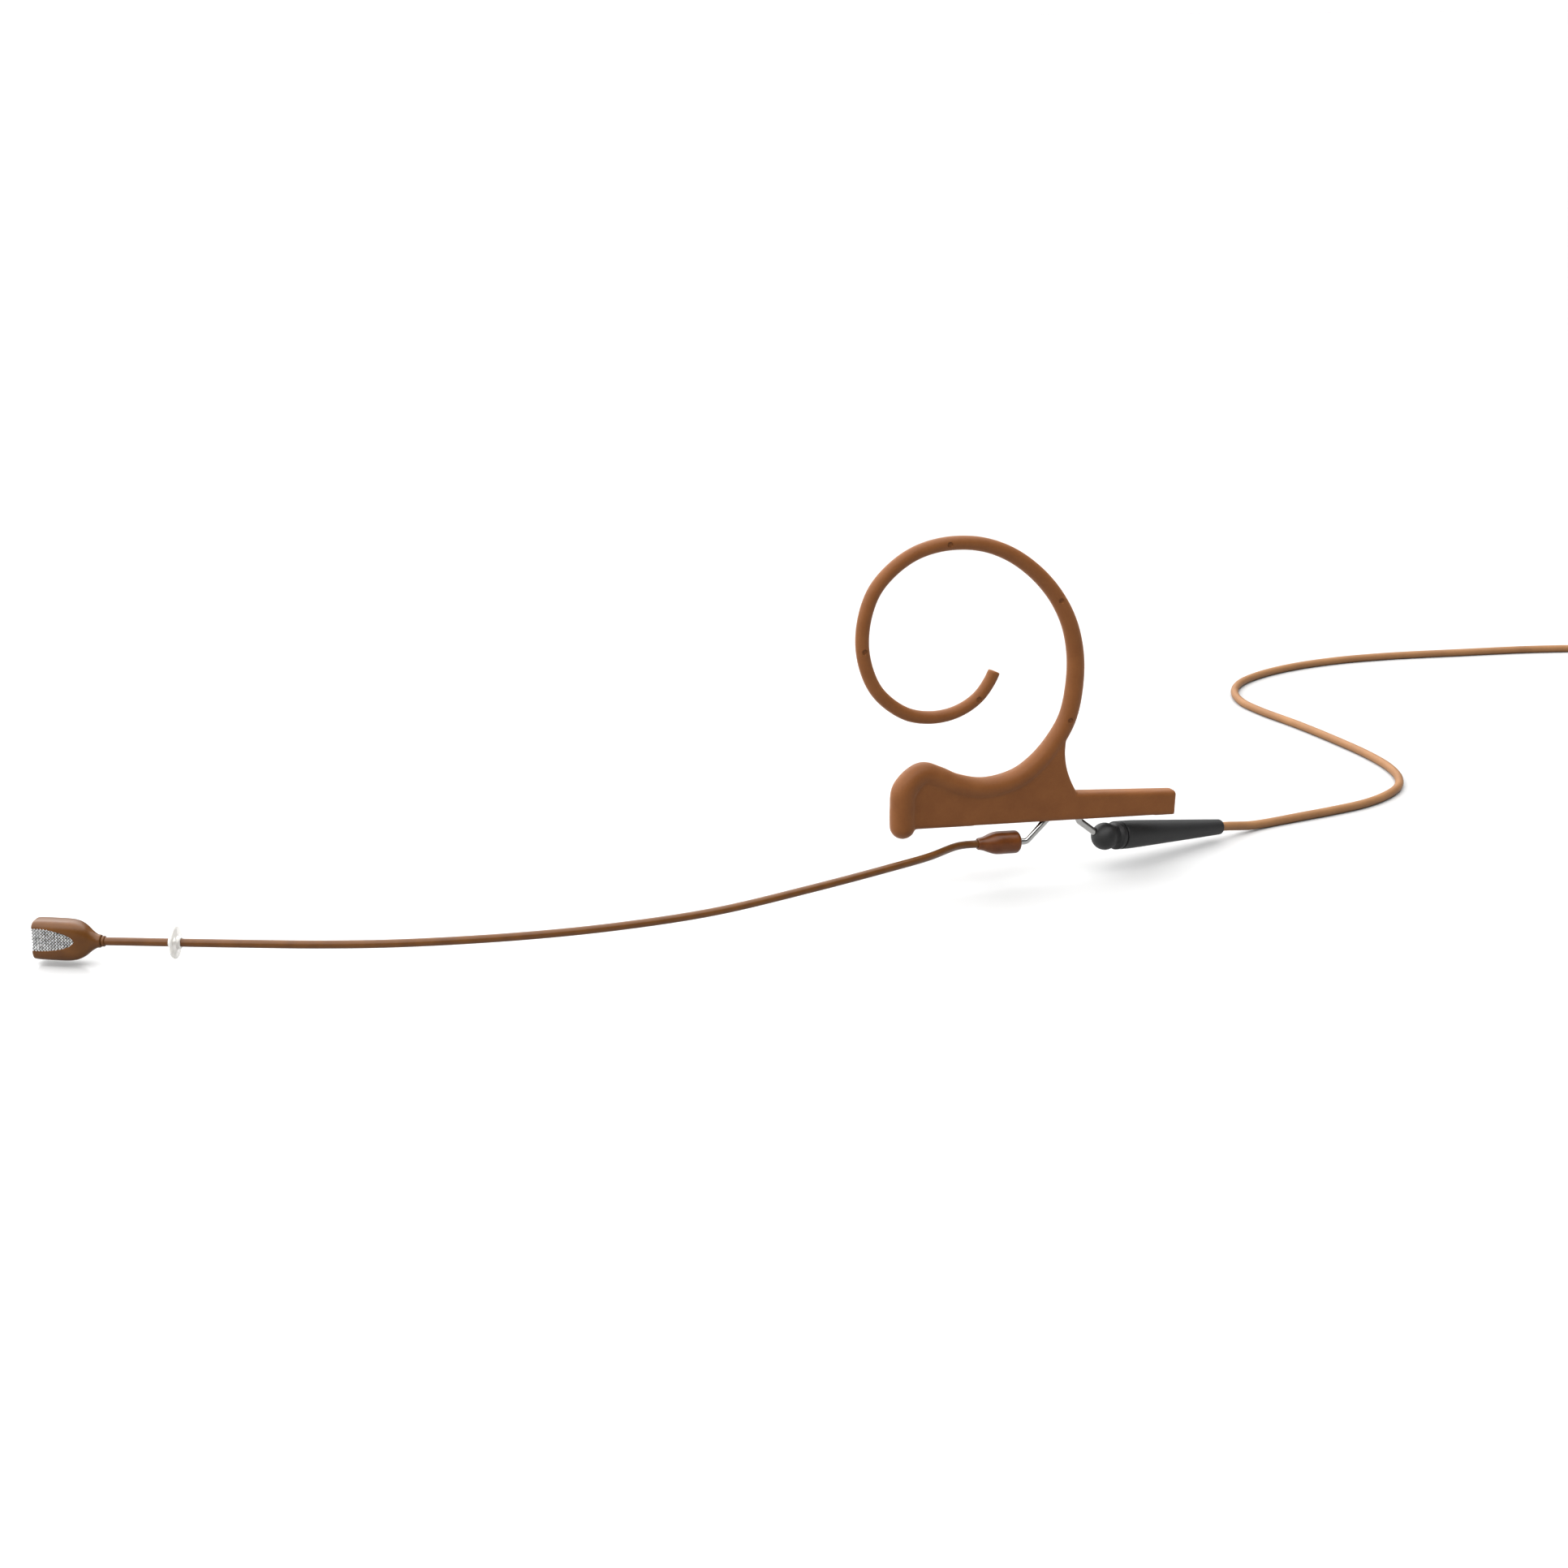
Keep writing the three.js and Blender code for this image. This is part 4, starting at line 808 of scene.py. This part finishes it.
# Glass-epoxy board: green, with the light crossing lines of the glass cloth 0.4 mm apart.
board, tree, shader = material("glass_epoxy_board", Roughness=0.42, IOR=1.55)
where = add(tree, "ShaderNodeTexCoord").outputs["Object"]
cloth = add(tree, "ShaderNodeTexChecker", {
    "Vector": where, "Scale": 2500.0, "Color1": linear("#1f5a36"), "Color2": linear("#2a6b42"),
})
tree.links.new(cloth.outputs["Color"], shader.inputs["Base Color"])
frame["nodes"]["capsule_board"].data.materials[0] = board

# The collar that closes the head's neck on the boom, turned in brass and painted with it. A fine
# dark seam stays between the two.
collar_profile = np.array([
    (-2.4, 0.62), (-2.4, 0.72), (0.1, 0.72), (0.12, 0.78), (0.2, 0.86), (0.48, 0.86),
    (0.55, 0.79), (0.55, 0.62),
])
neck_collar = turned("neck_collar", collar_profile, (0, 0, 0), (1, 0, 0), 56, ring=True)
placed(neck_collar, on_head)
neck_collar.data.materials.append(enamel)
shown(neck_collar, "boom_set", "collar_paint", "head_collar")


# ---------------------------------------------------------------- socket joint
# A round black rubber knuckle, moulded over the socket at the carrier's rear end, with a groove
# and a collar. The plug's tapered sleeve screws up to it and leaves a fine seam.
plug_joint = next(joint for joint in frame["joints"] if joint["name"] == "plug_sleeve_turn")
PLUG_CENTRE = np.array([26.106, 0.0, -32.960]) / 1000
PLUG_AXIS = np.array(plug_joint["axis"], float)
PLUG_AXIS /= np.linalg.norm(PLUG_AXIS)
KNUCKLE_RADIUS, COLLAR_END, SLEEVE_RADIUS = 2.35, 3.3, 2.45
SOCKET_SEAT = 1.3
SEAM_LIP = 2.2
arc = np.radians(np.linspace(2, 118, 40))
lip = np.radians(np.linspace(0, 90, 6))
knuckle_profile = np.vstack([
    np.stack([-KNUCKLE_RADIUS * np.cos(arc), KNUCKLE_RADIUS * np.sin(arc)], axis=1),
    [(1.5, 1.94), (1.95, 1.9), (2.15, 1.93), (2.35, 2.16)],
    np.stack([2.55 - 0.12 * np.cos(lip), 2.33 + 0.12 * np.sin(lip)], axis=1),
    np.stack([3.2 + 0.1 * np.sin(lip), 2.35 + 0.1 * np.cos(lip)], axis=1),
    [(COLLAR_END, SEAM_LIP), (COLLAR_END + 0.22, SEAM_LIP), (COLLAR_END + 0.22, SOCKET_SEAT)],
    [(-0.4, SOCKET_SEAT), (-0.4, 0.02)],
]) / 1000
knuckle = turned("knuckle", knuckle_profile, PLUG_CENTRE, PLUG_AXIS, 96, sharp_above=40)
# The hole where the carrier tube comes in follows the tube's last 3.5 mm.
ENTRY_RADIUS, ENTRY_POINTS = 0.00066, 26
cut(knuckle, skin("tube_entry", carried(
    carrier_path[-ENTRY_POINTS:], round_outline(ENTRY_RADIUS, 32), (0.0, 1.0, 0.0),
)))

# Black thermoplastic rubber, moulded in a blasted mould: near black, matt, with a soft sheen and
# a fine grain, drawn at 0.1 mm so that it shows.
black_rubber = cloudy(
    "moulded_black_rubber", 500.0, 4.0, dull=(0.48, 0.6), tones=("#0f0f0f", "#161617"),
    relief=(9000.0, 1.0, 0.25, 0.00004), IOR=1.5, Specular_IOR_Level=0.3,
)
knuckle.data.materials.clear()
knuckle.data.materials.append(black_rubber)
shown(knuckle, "boom_set", "black_rubber", "knuckle_housing")

# PTFE, turned: chalky white insulators between the contacts, with faint lathe rings.
ptfe = cloudy("turned_ptfe", 2500.0, dull=(0.45, 0.6), Base_Color=linear("#ecebe6"), IOR=1.35)
for node in ("socket_insulator", "plug_insulator", "end_insulator"):
    frame["nodes"][node].data.materials[0] = ptfe
frame["nodes"]["crimp_ferrule"].data.materials[0] = nickel


# ---------------------------------------------------------------- plug sleeve
# The long black sleeve over the cable plug, a soft strain relief that tapers down onto the cable.
SLEEVE_START, SLEEVE_TAPER, SLEEVE_END, SLEEVE_TIP = 3.6, 6.3, 29.0, 1.37
turn = np.radians(np.linspace(0, 90, 6))
sleeve_profile = np.vstack([
    [(SLEEVE_START, 1.95), (SLEEVE_START, SLEEVE_RADIUS - 0.15)],
    np.stack([SLEEVE_START + 0.15 - 0.15 * np.cos(turn),
              SLEEVE_RADIUS - 0.15 + 0.15 * np.sin(turn)], axis=1)[1:],
    curve_through(np.array([
        (4.2, 0, SLEEVE_RADIUS), (SLEEVE_TAPER, 0, SLEEVE_RADIUS - 0.02), (10, 0, 2.27),
        (16, 0, 1.985), (22, 0, 1.7), (28.7, 0, SLEEVE_TIP),
    ]), 0.5)[:, [0, 2]],
    np.stack([28.75 + 0.25 * np.sin(turn), SLEEVE_TIP - 0.25 + 0.25 * np.cos(turn)], axis=1),
    [(SLEEVE_END, 0.95), (16, 0.95), (16, 1.35), (9.5, 1.35), (9.5, 1.95)],
]) / 1000
sleeve = turned(
    "sleeve", sleeve_profile, PLUG_CENTRE, PLUG_AXIS, 80, ring=True, sharp_above=40,
)
sleeve.data.materials.append(black_rubber)
shown(sleeve, "plug_sleeve", "black_rubber", "plug_sleeve")


# ---------------------------------------------------------------- cable
# A limp 1.6 mm shielded cable with a tan jacket, 1.4 m long. It leaves the sleeve, drops onto the
# table and runs to a stored coil of twenty turns, then to its connector.
CABLE_DIAMETER = 0.0016
CABLE_Z = SURFACE_Z + CABLE_DIAMETER / 2
CABLE_SIDES = 14
TURN_PITCH = 0.00165
COIL_COLUMNS, COIL_ROWS = 5, 4
COIL_MEAN_RADIUS = 0.0088
COIL_CENTRE = np.array([0.197, 0.072])
COIL_BOTTOM = SURFACE_Z + 0.0008
START_ANGLE = math.radians(-18)
POINTS_A_TURN = 40
cable_exit = PLUG_CENTRE + PLUG_AXIS * SLEEVE_END / 1000
# The run on the table in millimetres: x and y, with its height where it isn't lying down yet.
DROP = [(0.0582, 0.01025, -0.03755), (0.0620, 0.0117, -0.03825)]
ON_TABLE = np.array([
    (66.5, 12.8), (73, 13.9), (81, 15.2), (88.5, 16.9), (95, 19.8), (100.6, 24), (104.6, 29.8),
    (107, 37), (108.1, 46), (108.1, 58), (107.4, 71), (106.1, 83), (106.2, 91), (108.6, 98.5),
    (113.4, 105.2), (120.5, 110.3), (131, 114.4), (143.5, 116.4), (157, 116), (175, 113),
    (193, 109.5), (204, 105.6), (210.5, 99), (212.9, 91), (213, 84), (212.2, 78),
]) / 1000

places = [(column, row) for row in range(COIL_ROWS)
          for column in (range(COIL_COLUMNS)[::-1] if row % 2 == 0 else range(COIL_COLUMNS))]
column_of, row_of = np.array(places, float).T
turn = np.arange(len(places) * POINTS_A_TURN + 1) / POINTS_A_TURN
turn = turn[turn <= len(places) - 0.05]
whole = np.minimum(turn.astype(int), len(places) - 1)
# A turn keeps its column and row for three quarters of the way round, then eases to the next.
onward = np.clip((turn - whole - 0.75) / 0.25, 0, 1)
onward = onward * onward * (3 - 2 * onward)
following = np.minimum(whole + 1, len(places) - 1)
column = column_of[whole] + (column_of[following] - column_of[whole]) * onward
row = row_of[whole] + (row_of[following] - row_of[whole]) * onward
radius = COIL_MEAN_RADIUS + (column - (COIL_COLUMNS - 1) / 2) * TURN_PITCH
angle = START_ANGLE - 2 * np.pi * turn
coil_path = np.stack([
    COIL_CENTRE[0] + radius * np.cos(angle), COIL_CENTRE[1] + radius * np.sin(angle),
    COIL_BOTTOM + (row + 0.5) * TURN_PITCH,
], axis=1)

end_joint = next(joint for joint in frame["joints"] if joint["name"] == "end_nut_turn")
END_PLACE = np.array(end_joint["pos_m"], float)
END_AXIS = np.array(end_joint["axis"], float)
END_AXIS /= np.linalg.norm(END_AXIS)
tail = np.array([
    (0.2113, 0.0660, CABLE_Z + 0.0034), (0.2106, 0.0615, CABLE_Z + 0.0026),
    (0.2100, 0.0570, CABLE_Z + 0.0019), END_PLACE - END_AXIS * 0.0015,
    END_PLACE + END_AXIS * 0.0066,
])
lead_in = cable_exit + PLUG_AXIS * np.array([[-0.0002], [0.0022]])
run = np.column_stack([ON_TABLE, np.full(len(ON_TABLE), CABLE_Z)])
run_path = curve_through(np.vstack([lead_in, DROP, run, coil_path[4:12:4]]), 0.0008)
tail_path = curve_through(np.vstack([coil_path[-6::5], tail]), 0.0008)
cable_path = even(np.vstack([run_path, coil_path[9:-6], tail_path]), 0.0009)
cable = skin("cable", carried(cable_path, round_outline(CABLE_DIAMETER / 2, CABLE_SIDES)))

# PVC cable jacket, extruded: warm tan, matt, a little darker in slow bands along the cable, with
# a very fine skin that scatters the light.
jacket = cloudy(
    "extruded_tan_pvc", 130.0, 3.0, dull=(0.5, 0.6), tones=("#6d4c30", "#7c5939"),
    at=(0.45, 0.95), fleck=(4200.0, 2.0, 0.4), relief=(4200.0, 2.0, 0.2, 0.00005),
    IOR=1.5, Specular_IOR_Level=0.16,
)
cable.data.materials.append(jacket)
for node in ("signal_lead", "cable_in_sleeve"):
    frame["nodes"][node].data.materials[0] = jacket
shown(cable, "boom_set", "cable_jacket", "cable_run", "cable_coil", "cable_tail")


# ---------------------------------------------------------------- coil tie
# A narrow strap of hook-and-loop tape holds the coil. It goes once round the turns and its end
# lies over its start.
TIE_ANGLE = math.radians(-120)
TIE_WIDTH, TIE_THICKNESS = 0.003, 0.0004
TIE_HALF_REACH, TIE_HALF_HEIGHT = 0.00437, 0.00357
t = np.linspace(0, 1.14, 170)
turn = 2 * np.pi * t + 0.6
reach = (np.abs(np.cos(turn)) ** 5 + np.abs(np.sin(turn)) ** 5) ** (-1 / 5)
lap = np.clip((t - 0.97) / 0.05, 0, 1) * TIE_THICKNESS * 1.05
spoke = COIL_MEAN_RADIUS + (TIE_HALF_REACH + lap) * reach * np.cos(turn)
tie_path = np.stack([
    COIL_CENTRE[0] + spoke * math.cos(TIE_ANGLE), COIL_CENTRE[1] + spoke * math.sin(TIE_ANGLE),
    COIL_BOTTOM + COIL_ROWS * TURN_PITCH / 2 + (TIE_HALF_HEIGHT + lap) * reach * np.sin(turn),
], axis=1)
corner = np.array([(0.5, 0.5), (-0.5, 0.5), (-0.5, -0.5), (0.5, -0.5)])
strap_outline = (corner * (TIE_THICKNESS, TIE_WIDTH))[None]
strap = skin("strap", carried(
    tie_path, strap_outline, (-math.sin(TIE_ANGLE), math.cos(TIE_ANGLE), 0.0),
))
softened = strap.modifiers.new("rim", "BEVEL")
softened.width = 0.00012
softened.segments = 2
finished(strap)

# Hook-and-loop tape in black nylon: a dull pile of tiny loops, drawn 0.35 mm across.
loop_tape, tree, shader = material(
    "black_nylon_loop_tape", Roughness=0.9, Sheen_Weight=0.35, Sheen_Roughness=0.5,
)
where = add(tree, "ShaderNodeTexCoord").outputs["Object"]
pile = add(tree, "ShaderNodeTexVoronoi", {"Vector": where, "Scale": 2900.0})
tone = add(tree, "ShaderNodeValToRGB", {"Fac": pile.outputs["Distance"]})
tone.color_ramp.elements[0].color = linear("#2b2b2c")
tone.color_ramp.elements[1].position = 0.6
tone.color_ramp.elements[1].color = linear("#0e0e0f")
relief = add(tree, "ShaderNodeBump", {
    "Height": pile.outputs["Distance"], "Strength": 0.6, "Distance": 0.00015,
})
tree.links.new(tone.outputs["Color"], shader.inputs["Base Color"])
tree.links.new(relief.outputs["Normal"], shader.inputs["Normal"])
strap.data.materials.append(loop_tape)
shown(strap, "boom_set", "tie_fabric", "coil_tie")


# ---------------------------------------------------------------- far connector
# A small screw-on connector for the belt pack: a ribbed rubber boot over the cable, and a
# knurled nut that turns on a gold shell with its pin in white plastic.
BOOT_LENGTH, BOOT_TIP, BOOT_BASE, BOOT_RIBS = 11.0, 1.2, 2.05, 7
NUT_REAR, NUT_FRONT, NUT_RADIUS, NUT_TEETH = 11.3, 18.3, 2.4, 40
t = np.linspace(0, 1, 120)
ribs = 0.09 * np.clip(np.cos(2 * np.pi * (BOOT_RIBS + 0.5) * t) * 3, -1, 0) * (t < 0.9)
boot_profile = np.vstack([
    [(0.0, 0.9), (0.0, BOOT_TIP - 0.15)],
    np.stack([
        0.12 + (BOOT_LENGTH - 0.12) * t, BOOT_TIP + (BOOT_BASE - BOOT_TIP) * t + ribs,
    ], axis=1),
    [(BOOT_LENGTH, 0.9)],
]) / 1000
boot = turned("far_boot", boot_profile, END_PLACE, END_AXIS, 48, ring=True, sharp_above=40)
boot.data.materials.append(black_rubber)
shown(boot, "boom_set", "black_rubber", "end_boot")

nut_profile = np.array([
    (NUT_REAR, 1.9), (NUT_REAR, 2.15), (NUT_REAR + 0.25, NUT_RADIUS - 0.02), (12.3, 2.38),
    (12.4, 2.2), (12.7, 2.2), (12.8, 2.4), (17.2, 2.4), (17.3, 2.22), (17.6, 2.22), (17.7, 2.36),
    (NUT_FRONT - 0.2, 2.36), (NUT_FRONT, 2.2), (NUT_FRONT, 1.9),
]) / 1000
knurled_nut = turned(
    "knurled_nut", nut_profile, END_PLACE, END_AXIS, 8 * NUT_TEETH, ring=True, sharp_above=30,
)


def knurled(points):
    """The knurl: where the nut is at its full radius between its two grooves, the surface dips
    towards the axis in forty rounded flutes."""
    along = (points - END_PLACE) @ END_AXIS
    spoke = points - END_PLACE - along[:, None] * END_AXIS
    radius = np.linalg.norm(spoke, axis=1)
    side = np.cross(END_AXIS, (0.0, 0.0, 1.0))
    angle = np.arctan2(spoke[:, 2], spoke @ (side / np.linalg.norm(side)))
    band = (along > 0.01275) & (along < 0.01725) & (radius > 0.00235)
    dip = 0.0001 * band * (0.5 - 0.5 * np.cos(NUT_TEETH * angle))
    return points - spoke / radius[:, None] * dip[:, None]


placed(knurled_nut, knurled)
knurled_nut.data.materials.append(nickel)
shown(knurled_nut, "end_nut", "nickel", "end_nut")

# ---------------------------------------------------------------- table and light
# A plain table in mid-grey laminate that runs on past the view. The light is so strong that it
# shows white.
floor_mesh = bpy.data.meshes.new("floor")
floor_mesh.from_pydata(
    [(-9, -9, SURFACE_Z), (9, -9, SURFACE_Z), (9, 9, SURFACE_Z), (-9, 9, SURFACE_Z)],
    [], [(0, 1, 2, 3)],
)
floor = bpy.data.objects.new("floor", floor_mesh)
bpy.context.scene.collection.objects.link(floor)

# Matt laminate with a light satin skin: an even grey, with a very faint cloudiness.
laminate = cloudy(
    "pale_laminate", 6.0, tones=("#a6a6a6", "#a9a9a9"), at=(0.0, 1.0), Roughness=0.2,
    Specular_IOR_Level=0.15,
)
floor.data.materials.append(laminate)

# The studio: bright at the horizon, where the table ends, and dim above it.
world = bpy.data.worlds.new("studio")
bpy.context.scene.world = world
world.use_nodes = True
tree = world.node_tree
direction = add(tree, "ShaderNodeTexCoord").outputs["Generated"]
height = add(tree, "ShaderNodeSeparateXYZ", {0: direction})
sky = add(tree, "ShaderNodeMapRange", {
    "Value": height.outputs["Z"], 1: 0.03, 2: 0.1, 3: 1.3, 4: 0.25,
})
tree.links.new(sky.outputs["Result"], tree.nodes["Background"].inputs["Strength"])
tree.nodes["Background"].inputs["Color"].default_value = (1, 1, 1, 1)

# One very wide soft light, high up, a little to the left and behind.
key_light = bpy.data.lights.new("key", "SUN")
key_light.energy = 11.5
key_light.angle = math.radians(125)
key = bpy.data.objects.new("key", key_light)
key.rotation_euler = (math.radians(-12), math.radians(-20), 0)
bpy.context.scene.collection.objects.link(key)
bpy.context.scene.view_settings.view_transform = "Standard"
